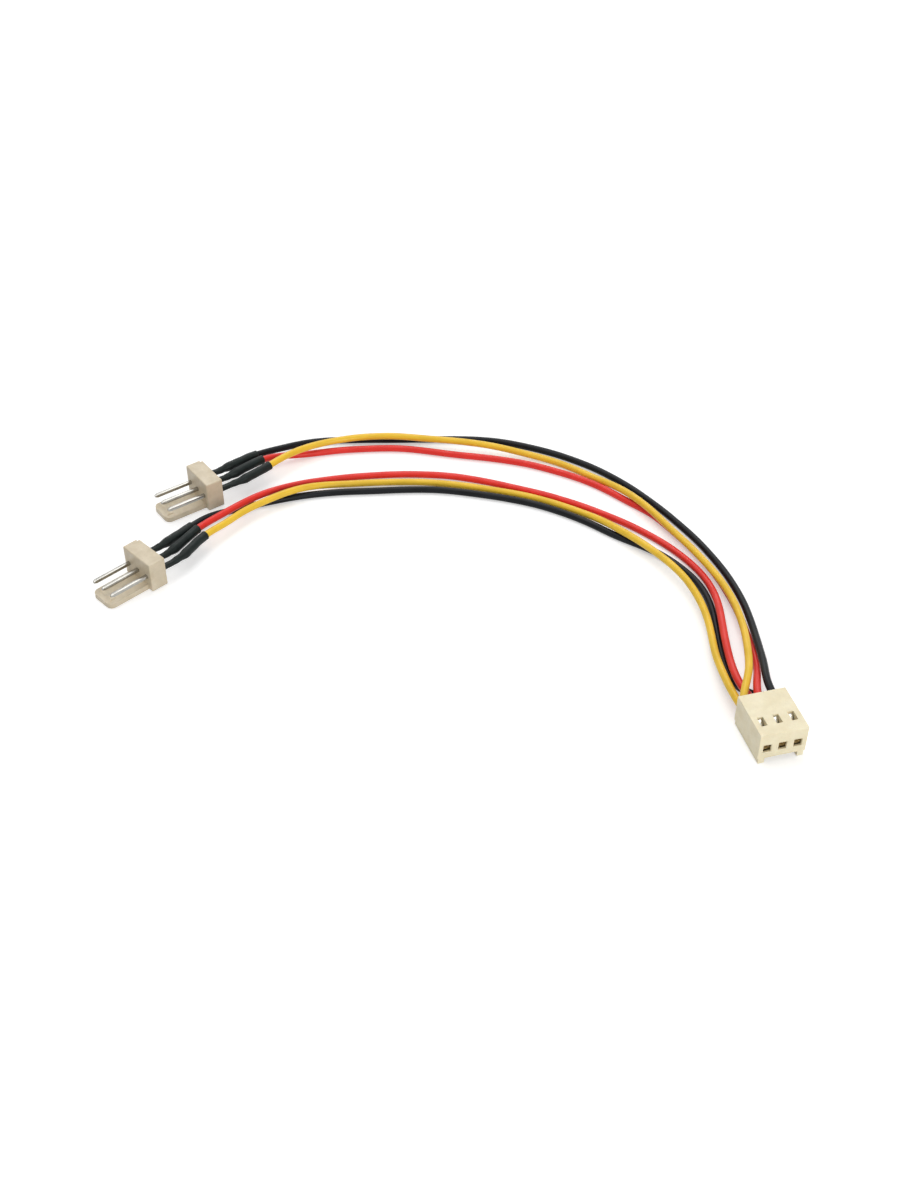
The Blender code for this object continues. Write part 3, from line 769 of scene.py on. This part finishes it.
def smooth_curve(points):
    """A cubic curve through all the points, bending evenly, straight at both ends."""
    points = np.array(points, dtype=float)
    knots = np.concatenate([[0.0], np.cumsum(np.linalg.norm(np.diff(points, axis=0), axis=1))])
    spans = np.diff(knots)
    slopes = np.diff(points, axis=0) / spans[:, None]
    count = len(points)
    system = np.eye(count)
    right = np.zeros_like(points)
    for i in range(1, count - 1):
        system[i, i - 1] = spans[i - 1]
        system[i, i] = 2 * (spans[i - 1] + spans[i])
        system[i, i + 1] = spans[i]
        right[i] = 6 * (slopes[i] - slopes[i - 1])
    bends = np.linalg.solve(system, right)
    where = np.linspace(0.0, knots[-1], CURVE_SAMPLES)
    span = np.clip(np.searchsorted(knots, where, side="right") - 1, 0, count - 2)
    width = spans[span][:, None]
    before = (knots[span + 1] - where)[:, None] / width
    after = 1.0 - before
    line = before * points[span] + after * points[span + 1]
    curve = (before**3 - before) * bends[span] + (after**3 - after) * bends[span + 1]
    return line + curve * width**2 / 6


class Route:
    """A smooth line through a wire's points, read by the distance along it."""

    def __init__(self, points):
        self.line = smooth_curve(points)
        steps = np.linalg.norm(np.diff(self.line, axis=0), axis=1)
        self.distance = np.concatenate([[0.0], np.cumsum(steps)])
        self.length = float(self.distance[-1])

    def point(self, at):
        return Vector([float(np.interp(at, self.distance, self.line[:, k])) for k in range(3)])

    def axes(self, at):
        """The directions to the side and up at this distance, square to the line."""
        forward = (self.point(at + AXIS_REACH) - self.point(at - AXIS_REACH)).normalized()
        side = forward.cross(Vector((0, 0, 1))).normalized()
        return side, side.cross(forward)

    def rings(self, stations, radius_of, sides):
        """A ring of points round the line at each distance. radius_of gives the radius for a distance
        and a turn in radians."""
        turns = [2 * math.pi * (i + 0.5) / sides for i in range(sides)]
        made = []
        for at in stations:
            side, up = self.axes(at)
            centre = self.point(at)
            made.append([centre + radius_of(at, turn) * (math.cos(turn) * side + math.sin(turn) * up)
                         for turn in turns])
        return made


def wire_route(branch, colour, diameter):
    """From the pin inside the header, over the table, to the crimp inside the socket."""
    header = connector_matrix(HEADER_PLACES[branch])
    pin_x = HEADER_SLOT[colour] * PITCH
    along_pin = (0.0, HEADER_DEPTH, HEADER_DEPTH + PIN_TAIL)
    start = [header @ Vector((pin_x, y, PIN_CENTRE)) for y in along_pin]
    socket = connector_matrix(SOCKET_PLACE)
    slot_x = SOCKET_SLOT[colour] * PITCH
    level = RIB_HEIGHT + FLOOR_WALL + FIT_GAP + diameter / 2
    if branch == "b":
        level += WIRE_SPACING
    end = [socket @ Vector((slot_x, y, level)) for y in (SOCKET_LENGTH, CRIMP_BACK + FACE_GAP)]
    middle = [Vector(point) for point in ROUTES[branch, colour]]
    return Route([tuple(point) for point in start + middle + end])


def add_run_map(mesh, sides, ring_distances):
    """A map of the rings: the share of a turn across, and the distance along in metres."""
    layer = mesh.uv_layers.new(name=RUN_MAP)
    for face in mesh.polygons:
        corners = [(mesh.loops[i].vertex_index, i) for i in face.loop_indices]
        shares = [(vertex % sides) / sides for vertex, _ in corners]
        wraps = max(shares) - min(shares) > 0.5
        for (vertex, loop), share in zip(corners, shares):
            turn = share + 1.0 if wraps and share < 0.5 else share
            layer.data[loop].uv = (turn, ring_distances[vertex // sides])


def tube_mesh(rings, ring_distances, closed_loop=False):
    """Rings bridged in turn, mapped along their length and smooth. A closed loop has no caps."""
    mesh = loft_mesh(rings, closed_loop=closed_loop)
    add_run_map(mesh, len(rings[0]), ring_distances)
    mesh.shade_smooth()
    return mesh


def make_wire(branch, colour, sizes, material):
    """One wire, from its soldered joint to its crimp, with its strands faintly showing."""
    route = wire_route(branch, colour, sizes.wire_diameter)
    start = HEADER_DEPTH + PIN_TAIL + 2 * FIT_GAP + JOINT_LENGTH
    count = math.ceil((route.length - start) / sizes.wire_step)
    stations = [start + (route.length - start) * i / count for i in range(count + 1)]
    phase = COLOUR_PHASE * COLOURS.index(colour) + BRANCH_PHASE * BRANCHES.index(branch)

    def radius(at, turn):
        lay = math.cos(WIRE_RIDGES * turn - 2 * math.pi * at / sizes.lay_length + phase)
        swell = math.sin(at * SWELL_WAVE + phase) * math.sin(at * SWELL_BEAT)
        return (sizes.wire_diameter / 2 + sizes.lay_depth * (lay - 1.0)
                + SWELL_SHARE * sizes.lay_depth * swell)

    mesh = tube_mesh(route.rings(stations, radius, WIRE_SIDES), stations)
    piece = put("insulated_wire_%s_%s" % (branch, colour), mesh, material)
    dress(piece, colour + "_wire", "wire_%s_%s" % (branch, colour))
    path = [tuple(route.point(at)) for at in stations]


# Sleeves

def ease(value, low, high):
    """From 0 at low to 1 at high, starting and ending gently."""
    share = min(1.0, max(0.0, (value - low) / (high - low)))
    return share * share * (3 - 2 * share)


def bell(value, middle, reach):
    """1 in the middle, fading to nothing a few reaches away."""
    return math.exp(-((value - middle) / reach) ** 2)


class SleeveShape:
    """Radii of one shrunk tube: shrunk on the pin's square tail, with a shoulder where the insulation
    starts, a swelling over the solder, and a cut end that stands off the wire."""

    def __init__(self, sizes, number):
        self.sizes = sizes
        self.phase = SLEEVE_PHASE * number
        self.start = HEADER_DEPTH + SLEEVE_START
        self.end = self.start + SLEEVE_LENGTH
        self.tail_end = HEADER_DEPTH + PIN_TAIL
        shift = SHOULDER_SPREAD * math.sin(SHOULDER_PHASE * number)
        self.shoulder = self.tail_end + SHOULDER_BACK + shift

    def bore(self, at, turn):
        """The inner radius: square round the pin, then round over the solder and the insulation."""
        flat = self.sizes.pin_width / 2 + SHRUNK_GAP
        corner = flat * CORNER_SHARE
        on_pin = (flat + corner) / 2 - (corner - flat) / 2 * math.cos(4 * turn)
        on_solder = JOINT_RADIUS + SHRUNK_GAP
        on_wire = self.sizes.wire_diameter / 2 + SLEEVE_FIT
        rise = ease(at, self.tail_end - SOLDER_RISE_START, self.tail_end - SOLDER_RISE_END)
        step = ease(at, self.shoulder - SHOULDER_REACH, self.shoulder + SHOULDER_REACH)
        radius = on_pin + (on_solder - on_pin) * rise
        return radius + (on_wire - radius) * step

    def folds(self, at, turn):
        """Folds and swellings, each fading out to both sides of its place."""
        total = 0.0
        for share, count, place, past, reach in FOLDS:
            height = math.sin(count * turn + self.phase) if count else 1.0
            total += share * height * bell(at, getattr(self, place) + past, reach)
        return total

    def skin(self, at, turn):
        """The outer radius: the bore, the wall, and the ripples that shrinking leaves."""
        waves = math.sin(at * SHORT_WAVE + self.phase) * math.cos(turn + self.phase)
        waves += LONG_WAVE_SHARE * math.sin(at * LONG_WAVE + 2 * self.phase + turn)
        lip = bell(at, self.start, LIP_REACH) + END_LIP_SHARE * bell(at, self.end, LIP_REACH)
        relief = WAVE_SHARE * waves + FOLD_SHARE * self.folds(at, turn) - RELIEF_DROP + LIP_SHARE * lip
        shrunk = ease(at, self.shoulder, self.end)
        neck = NECK_SHRINK * (1 - shrunk) * (1 - ease(at, self.tail_end, self.shoulder))
        wall = self.sizes.sleeve_wall - neck
        return self.bore(at, turn) + wall + self.sizes.sleeve_ripple * relief


def make_sleeve(branch, colour, sizes, material):
    """A shrunk tube from the pin's tail to the wire, open at both ends."""
    route = wire_route(branch, colour, sizes.wire_diameter)
    shape = SleeveShape(sizes, WIRES.index((branch, colour)))
    step = (shape.end - shape.start) / (SLEEVE_RINGS - 1)
    stations = [shape.start + step * i for i in range(SLEEVE_RINGS)]
    outer = route.rings(stations, shape.skin, SLEEVE_SIDES)
    inner = route.rings(stations[::-1], shape.bore, SLEEVE_SIDES)
    mesh = tube_mesh(outer + inner, stations + stations[::-1], closed_loop=True)
    piece = put("sleeve_%s_%s" % (branch, colour), mesh, material)
    dress(piece, "black_sleeve", "heat_shrink_%s_%s" % (branch, colour))


# Soldered joints

def make_joint(branch, colour, sizes, material):
    """Solder over bare strands: smooth at the pin's tail, with the strands showing at the wire."""
    route = wire_route(branch, colour, sizes.wire_diameter)
    start = HEADER_DEPTH + PIN_TAIL + FIT_GAP
    stations = [start + JOINT_LENGTH * i / JOINT_RINGS for i in range(JOINT_RINGS + 1)]

    def radius(at, turn):
        share = (at - start) / JOINT_LENGTH
        body = JOINT_END_RADIUS + (JOINT_RADIUS - JOINT_END_RADIUS) * math.sin(math.pi * share)
        strands = math.cos(JOINT_STRANDS * turn - 2 * math.pi * at / STRAND_TURN)
        return body - STRAND_RELIEF * (1 + strands) * share

    mesh = tube_mesh(route.rings(stations, radius, JOINT_SIDES), stations)
    piece = put("soldered_joint_%s_%s" % (branch, colour), mesh, material)
    dress(piece, "solder", "solder_joint_%s_%s" % (branch, colour))


# Pins

def square_ring(x, y, z, width, edge):
    """A square in the XZ plane with its corners cut off, as eight points."""
    half = width / 2
    inner = half - edge
    corners = ((half, inner), (inner, half), (-inner, half), (-half, inner),
               (-half, -inner), (-inner, -half), (inner, -half), (half, -inner))
    return [(x + cx, y, z + cz) for cx, cz in corners]


def make_pin(branch, colour, sizes, material):
    """A square pin with flats on its edges and blunt points."""
    x = HEADER_SLOT[colour] * PITCH
    back = HEADER_DEPTH + PIN_TAIL
    # Each place along the pin, its width there and the share of the flat on its edges
    stations = (
        (-PIN_LENGTH, PIN_TIP_WIDTH, 0.5),
        (-PIN_LENGTH + PIN_TIP / 8, PIN_TIP_WIDTH + sizes.pin_edge, 0.7),
        (-PIN_LENGTH + PIN_TIP, sizes.pin_width, 1.0),
        (-PIN_LENGTH / 2, sizes.pin_width, 1.0),
        (0.0, sizes.pin_width, 1.0),
        (HEADER_DEPTH, sizes.pin_width, 1.0),
        (back - PIN_TIP / 2, sizes.pin_width, 1.0),
        (back, PIN_TIP_WIDTH, 0.5),
    )
    rings = [square_ring(x, y, PIN_CENTRE, width, sizes.pin_edge * share)
             for y, width, share in stations]
    piece = put("pin_%s_%s" % (branch, colour), loft_mesh(rings), material,
                connector_matrix(HEADER_PLACES[branch]))
    polish(piece, material)
    dress(piece, "tinned_pin", "header_pin_%s_%s" % (branch, colour))


# Crimp socket

def make_socket(sizes, material):
    """The crimp socket's moulding, with its cavities, entries, windows and ribs."""
    half = SOCKET_WIDTH / 2
    floor = RIB_HEIGHT
    roof = RIB_HEIGHT + SOCKET_HEIGHT
    rib_out = half - RIB_INSET
    rib_in = rib_out - RIB_WIDTH
    across = (
        (-half, floor), (-rib_out, floor), (-rib_out, 0.0), (-rib_in, 0.0), (-rib_in, floor),
        (rib_in, floor), (rib_in, 0.0), (rib_out, 0.0), (rib_out, floor), (half, floor),
        (half, roof), (-half, roof),
    )
    outline = [(x, 0.0, z) for x, z in across]
    piece = put("socket_moulding", prism_mesh(outline, (0, SOCKET_LENGTH, 0)), material,
                connector_matrix(SOCKET_PLACE))
    round_edges(piece, sizes.housing_edge, OUTER_SEGMENTS)
    slots = [slot * PITCH for slot in SLOTS]
    low = floor + FLOOR_WALL
    top = low + CAVITY_HEIGHT
    carve(piece, "DIFFERENCE", box_mesh(*[
        ((x - CAVITY_WIDTH / 2, FRONT_WALL, low),
         (x + CAVITY_WIDTH / 2, SOCKET_LENGTH + CUT_PAST, top)) for x in slots]))
    entry_z = floor + ENTRY_CENTRE
    carve(piece, "DIFFERENCE", loft_mesh(*[
        mouth_rings(x, entry_z, ENTRY_WIDTH, ENTRY_HEIGHT, 0.0, FRONT_WALL + CUT_PAST, ENTRY_MOUTH)
        for x in slots]))
    window_front = WINDOW_CENTRE - WINDOW_LENGTH / 2
    carve(piece, "DIFFERENCE", box_mesh(*[
        ((x - WINDOW_WIDTH / 2, window_front, top - CUT_PAST),
         (x + WINDOW_WIDTH / 2, window_front + WINDOW_LENGTH, roof + CUT_PAST)) for x in slots]))
    round_edges(piece, sizes.cut_edge, CUT_SEGMENTS)
    polish(piece, material)
    dress(piece, "cream_socket", "socket_housing")


def rounded_square(x, y, z, side, corner):
    """A ring in the XZ plane with round corners."""
    flat = side / 2 - corner
    ring = []
    for quarter, (sx, sz) in enumerate(((1, 1), (-1, 1), (-1, -1), (1, -1))):
        for i in range(SHEET_STEPS + 1):
            turn = math.pi / 2 * (quarter + i / SHEET_STEPS)
            ring.append((x + sx * flat + corner * math.cos(turn), y,
                         z + sz * flat + corner * math.sin(turn)))
    return ring


def spring_rings(x, front, roof):
    """Rings of the leaf that is sprung down from the roof of a contact's box."""
    left = x - SPRING_WIDTH / 2
    right = x + SPRING_WIDTH / 2
    rings = []
    for i in range(SPRING_STEPS + 1):
        share = i / SPRING_STEPS
        y = front + SPRING_START + (CONTACT_BOX_LENGTH - SPRING_SHORTER) * share
        low = roof - SPRING_DROP * math.sin(math.pi * share)
        high = low + CONTACT_SHEET / 2
        rings.append([(left, y, low), (right, y, low), (right, y, high), (left, y, high)])
    return rings


def crimp_outline(x, y, low, high):
    """The crimp from its end: a flat foot, and two wings curled in to a dip between them."""
    half = CRIMP_WIDTH / 2
    wing = CRIMP_WIDTH / 4

    def curl(centre, count):
        turns = [math.pi * i / CORNER_STEPS for i in range(count)]
        return [(centre + wing * math.cos(turn), y, high - wing + wing * math.sin(turn))
                for turn in turns]

    return [(x - half, y, low), (x + half, y, low), *curl(x + wing, CORNER_STEPS),
            (x, y, high - CRIMP_DIP), *curl(x - wing, CORNER_STEPS + 1)]


def tang_outline(x, z):
    """The latching tang from the side: a strip that rises from the roof of the box at z."""
    root = WINDOW_CENTRE - TANG_LENGTH / 2
    return [
        (x, root, z),
        (x, root + TANG_LENGTH, z + TANG_RISE),
        (x, root + TANG_LENGTH, z + TANG_RISE - CONTACT_SHEET),
        (x, root + 2 * CONTACT_SHEET, z - CONTACT_SHEET / 4),
    ]


def make_contact(colour, material):
    """A folded contact: spring box, leaf, floor strip, curled crimp and the tang in the window."""
    x = SOCKET_SLOT[colour] * PITCH
    middle = RIB_HEIGHT + ENTRY_CENTRE
    front = FRONT_WALL + FACE_GAP
    box_end = front + CONTACT_BOX_LENGTH
    crimp_start = box_end + CONTACT_STRIP_LENGTH
    inside = CONTACT_BOX - 2 * CONTACT_SHEET
    floor = middle - CONTACT_BOX / 2
    outer = [rounded_square(x, y, middle, CONTACT_BOX, CONTACT_ROUND) for y in (front, box_end)]
    inner = [rounded_square(x, y, middle, inside, CONTACT_ROUND / 2) for y in (box_end, front)]
    piece = put("contact_" + colour, loft_mesh(outer + inner, closed_loop=True), material,
                connector_matrix(SOCKET_PLACE))
    carve(piece, "UNION", loft_mesh(spring_rings(x, front, middle + inside / 2)))
    carve(piece, "UNION", box_mesh((
        (x - CONTACT_STRIP_WIDTH / 2, box_end - CONTACT_SHEET, floor),
        (x + CONTACT_STRIP_WIDTH / 2, crimp_start + CRIMP_LENGTH / 2, floor + CONTACT_SHEET))))
    low = RIB_HEIGHT + FLOOR_WALL + FIT_GAP
    crimp = crimp_outline(x, crimp_start, low, low + CRIMP_HEIGHT)
    carve(piece, "UNION", prism_mesh(crimp, (0, CRIMP_LENGTH, 0)))
    tang = tang_outline(x - TANG_WIDTH / 2, middle + CONTACT_BOX / 2 - CONTACT_SHEET / 2)
    carve(piece, "UNION", prism_mesh(tang, (TANG_WIDTH, 0, 0)))
    merge_points(piece)
    polish(piece, material)
    dress(piece, "tinned_contact", "socket_contact_" + colour)


# Pin headers

def wall_outline(side, tip):
    """The friction wall from above, with a round corner at each side of its tip."""
    points = [(-side, WALL_SINK, 0.0), (side, WALL_SINK, 0.0)]
    for centre_x, first in ((side - WALL_CORNER, 0.0), (WALL_CORNER - side, -math.pi / 2)):
        for i in range(CORNER_STEPS + 1):
            turn = first - math.pi / 2 * i / CORNER_STEPS
            points.append((centre_x + WALL_CORNER * math.cos(turn),
                           tip + WALL_CORNER + WALL_CORNER * math.sin(turn), 0.0))
    return points


def make_header(branch, sizes, material):
    """A pin header's moulding: the base round three pins and the friction wall below them."""
    half = HEADER_WIDTH / 2
    base = box_mesh(((-half, 0.0, 0.0), (half, HEADER_DEPTH, HEADER_HEIGHT)))
    piece = put("header_moulding_" + branch, base, material, connector_matrix(HEADER_PLACES[branch]))
    round_edges(piece, sizes.housing_edge, OUTER_SEGMENTS)
    tip = -WALL_LENGTH
    carve(piece, "UNION", prism_mesh(wall_outline(WALL_WIDTH / 2, tip), (0, 0, WALL_THICKNESS)))
    ramp_tip = tip + RAMP_FROM_TIP
    left = -RAMP_WIDTH / 2
    sunk = WALL_THICKNESS / 2
    ramp = [
        (left, ramp_tip, sunk),
        (left, ramp_tip + RAMP_LENGTH, sunk),
        (left, ramp_tip + RAMP_LENGTH, WALL_THICKNESS),
        (left, ramp_tip + RAMP_CREST, WALL_THICKNESS + RAMP_HEIGHT),
        (left, ramp_tip, WALL_THICKNESS),
    ]
    carve(piece, "UNION", prism_mesh(ramp, (RAMP_WIDTH, 0, 0)))
    hole = sizes.pin_width + 2 * PIN_HOLE_GAP
    carve(piece, "DIFFERENCE", loft_mesh(*[
        mouth_rings(slot * PITCH, PIN_CENTRE, hole, hole, 0.0, HEADER_DEPTH + CUT_PAST, PIN_MOUTH)
        for slot in SLOTS]))
    carve(piece, "DIFFERENCE", box_mesh((
        (-half - CUT_PAST, HEADER_DEPTH - NOTCH_SIZE, HEADER_HEIGHT - NOTCH_SIZE),
        (NOTCH_SIZE - half, HEADER_DEPTH + CUT_PAST, HEADER_HEIGHT + CUT_PAST))))
    round_edges(piece, sizes.cut_edge, CUT_SEGMENTS)
    polish(piece, material)
    dress(piece, "cream_header", "header_housing_" + branch)


# Stage

def seen_ray(tree):
    """1 for rays from the camera, and for those that it sees in metal or glass."""
    rays = add_node(tree, "ShaderNodeLightPath").outputs
    either = math_node(tree, "MAXIMUM", rays["Is Camera Ray"], rays["Is Glossy Ray"])
    return math_node(tree, "MAXIMUM", either, rays["Is Transmission Ray"])


def floor_finish(colour, glow):
    """A matt white table, clear from below, and seen whiter than it is lit, for faint shadows."""
    material = bpy.data.materials.new("table_top")
    tree = blank_tree(material)
    where = add_node(tree, "ShaderNodeTexCoord").outputs["Object"]
    grain = noise(tree, where, 1200.0, 3.0, 0.6)
    tone = mix_colours(tree, grain, shaded(colour, 0.985), shaded(colour, 1.015))
    matt = add_node(tree, "ShaderNodeBsdfDiffuse", {"Color": tone}).outputs[0]
    strength = math_node(tree, "MULTIPLY", seen_ray(tree), glow)
    light = add_node(tree, "ShaderNodeEmission", {"Strength": strength}).outputs[0]
    top = add_node(tree, "ShaderNodeAddShader", {0: matt, 1: light}).outputs[0]
    clear = add_node(tree, "ShaderNodeBsdfTransparent").outputs[0]
    below = add_node(tree, "ShaderNodeNewGeometry").outputs["Backfacing"]
    both = add_node(tree, "ShaderNodeMixShader", {0: below, 1: top, 2: clear}).outputs[0]
    add_node(tree, "ShaderNodeOutputMaterial", {"Surface": both})
    return material


def make_world(level):
    """Even light from all round, white where the camera sees it."""
    world = bpy.data.worlds.new("studio")
    tree = blank_tree(world)
    strength = spread(tree, seen_ray(tree), 0.0, 1.0, level, 1.0)
    sky = add_node(tree, "ShaderNodeBackground", {"Color": (1, 1, 1, 1), "Strength": strength}).outputs[0]
    add_node(tree, "ShaderNodeOutputWorld", {"Surface": sky})
    bpy.context.scene.world = world


def aim(obj, place, target):
    """Stands a camera or a lamp at a place, pointed at a target."""
    obj.location = place
    obj.rotation_euler = (Vector(target) - Vector(place)).to_track_quat("-Z", "Y").to_euler()


def add_lamp(name, place, size, power):
    """A square soft lamp aimed at the middle of the view."""
    light = bpy.data.lights.new(name, "AREA")
    light.shape = "SQUARE"
    light.size = size
    light.energy = power
    lamp = bpy.data.objects.new(name, light)
    bpy.context.scene.collection.objects.link(lamp)
    aim(lamp, place, LOOK_AT)


# Operators

class LEAD_OT_stage(bpy.types.Operator):
    """Makes the camera, the lamps, the even light and the table"""

    bl_idname = "lead.stage"
    bl_label = "Stage"

    def execute(self, context):
        stage = context.scene.lead_stage
        lens = bpy.data.cameras.new("photo_camera")
        lens.lens = stage.lens
        lens.sensor_width = SENSOR_WIDTH
        lens.clip_start = CLIP_START
        lens.clip_end = CLIP_END
        camera = bpy.data.objects.new("photo_camera", lens)
        context.scene.collection.objects.link(camera)
        back = Vector((0.0, -math.cos(stage.tilt), math.sin(stage.tilt)))
        aim(camera, LOOK_AT + stage.distance * back, LOOK_AT)
        context.scene.camera = camera
        context.scene.view_settings.view_transform = "Standard"
        for name, (place, size) in LAMPS.items():
            add_lamp(name + "_lamp", place, size, getattr(stage, name + "_power"))
        make_world(stage.world_level)
        mesh = bpy.data.meshes.new("table")
        reach = TABLE_REACH
        corners = [(-reach, -reach, 0), (reach, -reach, 0), (reach, reach, 0), (-reach, reach, 0)]
        mesh.from_pydata(corners, [], [(0, 1, 2, 3)])
        table = put("table", mesh, floor_finish(context.scene.lead_colours.floor, stage.floor_glow))
        return {"FINISHED"}


class LEAD_OT_wires(bpy.types.Operator):
    """Makes the six insulated wires along their routes"""

    bl_idname = "lead.wires"
    bl_label = "Wires"

    def execute(self, context):
        colours = context.scene.lead_colours
        finishes = {
            "black": wire_insulation("black_insulation", colours.black, dull=1.9, gloss=0.15),
            "red": wire_insulation("red_insulation", colours.red, dull=0.90, gloss=0.30),
            "yellow": wire_insulation("yellow_insulation", colours.yellow, dull=0.90, gloss=0.30),
        }
        for branch, colour in WIRES:
            make_wire(branch, colour, context.scene.lead_sizes, finishes[colour])
        return {"FINISHED"}


class LEAD_OT_sleeves(bpy.types.Operator):
    """Makes the shrunk sleeves over the soldered joints"""

    bl_idname = "lead.sleeves"
    bl_label = "Sleeves"

    def execute(self, context):
        finish = shrunk_tube(context.scene.lead_colours.sleeve)
        for branch, colour in WIRES:
            make_sleeve(branch, colour, context.scene.lead_sizes, finish)
        return {"FINISHED"}


class LEAD_OT_joints(bpy.types.Operator):
    """Makes the soldered joints inside the sleeves"""

    bl_idname = "lead.joints"
    bl_label = "Soldered joints"

    def execute(self, context):
        finish = plated_metal(
            "solder", context.scene.lead_colours.solder, rough_low=0.34, rough_high=0.5, relief=0.00003)
        for branch, colour in WIRES:
            make_joint(branch, colour, context.scene.lead_sizes, finish)
        return {"FINISHED"}


class LEAD_OT_pins(bpy.types.Operator):
    """Makes the square pins of both headers"""

    bl_idname = "lead.pins"
    bl_label = "Pins"

    def execute(self, context):
        finish = plated_metal(
            "tin_plate", context.scene.lead_colours.tin,
            rough_low=0.16, rough_high=0.30, relief=0.000004)
        for branch, colour in WIRES:
            make_pin(branch, colour, context.scene.lead_sizes, finish)
        return {"FINISHED"}


class LEAD_OT_headers(bpy.types.Operator):
    """Makes the mouldings of the two pin headers"""

    bl_idname = "lead.headers"
    bl_label = "Headers"

    def execute(self, context):
        finish = cream_nylon(
            "header_nylon", context.scene.lead_colours.header, mottle_depth=0.84, relief=0.000016)
        for branch in BRANCHES:
            make_header(branch, context.scene.lead_sizes, finish)
        return {"FINISHED"}


class LEAD_OT_socket(bpy.types.Operator):
    """Makes the moulding of the crimp socket"""

    bl_idname = "lead.socket"
    bl_label = "Socket"

    def execute(self, context):
        finish = cream_nylon(
            "socket_nylon", context.scene.lead_colours.socket, mottle_depth=0.93, relief=0.000012)
        make_socket(context.scene.lead_sizes, finish)
        return {"FINISHED"}


class LEAD_OT_contacts(bpy.types.Operator):
    """Makes the folded contacts inside the socket"""

    bl_idname = "lead.contacts"
    bl_label = "Contacts"

    def execute(self, context):
        colours = context.scene.lead_colours
        # The contact is bright tin above 4.4 mm and painted shade, a darker brown, below 4.0 mm
        finish = plated_metal(
            "contact_strip", colours.contact_tin, rough_low=0.26, rough_high=0.42, relief=0.000006,
            painted_shade_colour=colours.painted_shade_bronze, painted_shade_below=(0.0040, 0.0044))
        for colour in COLOURS:
            make_contact(colour, finish)
        return {"FINISHED"}


class LEAD_PT_pieces(bpy.types.Panel):
    """Lists the settings and the steps that build the lead"""

    bl_label = "Fan splitter lead"
    bl_space_type = "VIEW_3D"
    bl_region_type = "UI"
    bl_category = "Fan lead"

    def draw(self, context):
        layout = self.layout
        for group in (context.scene.lead_sizes, context.scene.lead_colours, context.scene.lead_stage):
            box = layout.box()
            for name in group.__annotations__:
                box.prop(group, name)
        for operator in OPERATORS:
            layout.operator(operator.bl_idname)


GROUPS = (LeadSizes, LeadColours, LeadStage)
OPERATORS = (LEAD_OT_stage, LEAD_OT_wires, LEAD_OT_sleeves, LEAD_OT_joints, LEAD_OT_pins,
             LEAD_OT_headers, LEAD_OT_socket, LEAD_OT_contacts)


def register():
    for cls in (*GROUPS, *OPERATORS, LEAD_PT_pieces):
        bpy.utils.register_class(cls)
    bpy.types.Scene.lead_sizes = bpy.props.PointerProperty(type=LeadSizes)
    bpy.types.Scene.lead_colours = bpy.props.PointerProperty(type=LeadColours)
    bpy.types.Scene.lead_stage = bpy.props.PointerProperty(type=LeadStage)


def unregister():
    del bpy.types.Scene.lead_stage
    del bpy.types.Scene.lead_colours
    del bpy.types.Scene.lead_sizes
    for cls in reversed((*GROUPS, *OPERATORS, LEAD_PT_pieces)):
        bpy.utils.unregister_class(cls)


def main():
    register()
    bpy.ops.lead.stage()
    bpy.ops.lead.wires()
    bpy.ops.lead.sleeves()
    bpy.ops.lead.joints()
    bpy.ops.lead.pins()
    bpy.ops.lead.headers()
    bpy.ops.lead.socket()
    bpy.ops.lead.contacts()


if __name__ == "__main__":
    main()
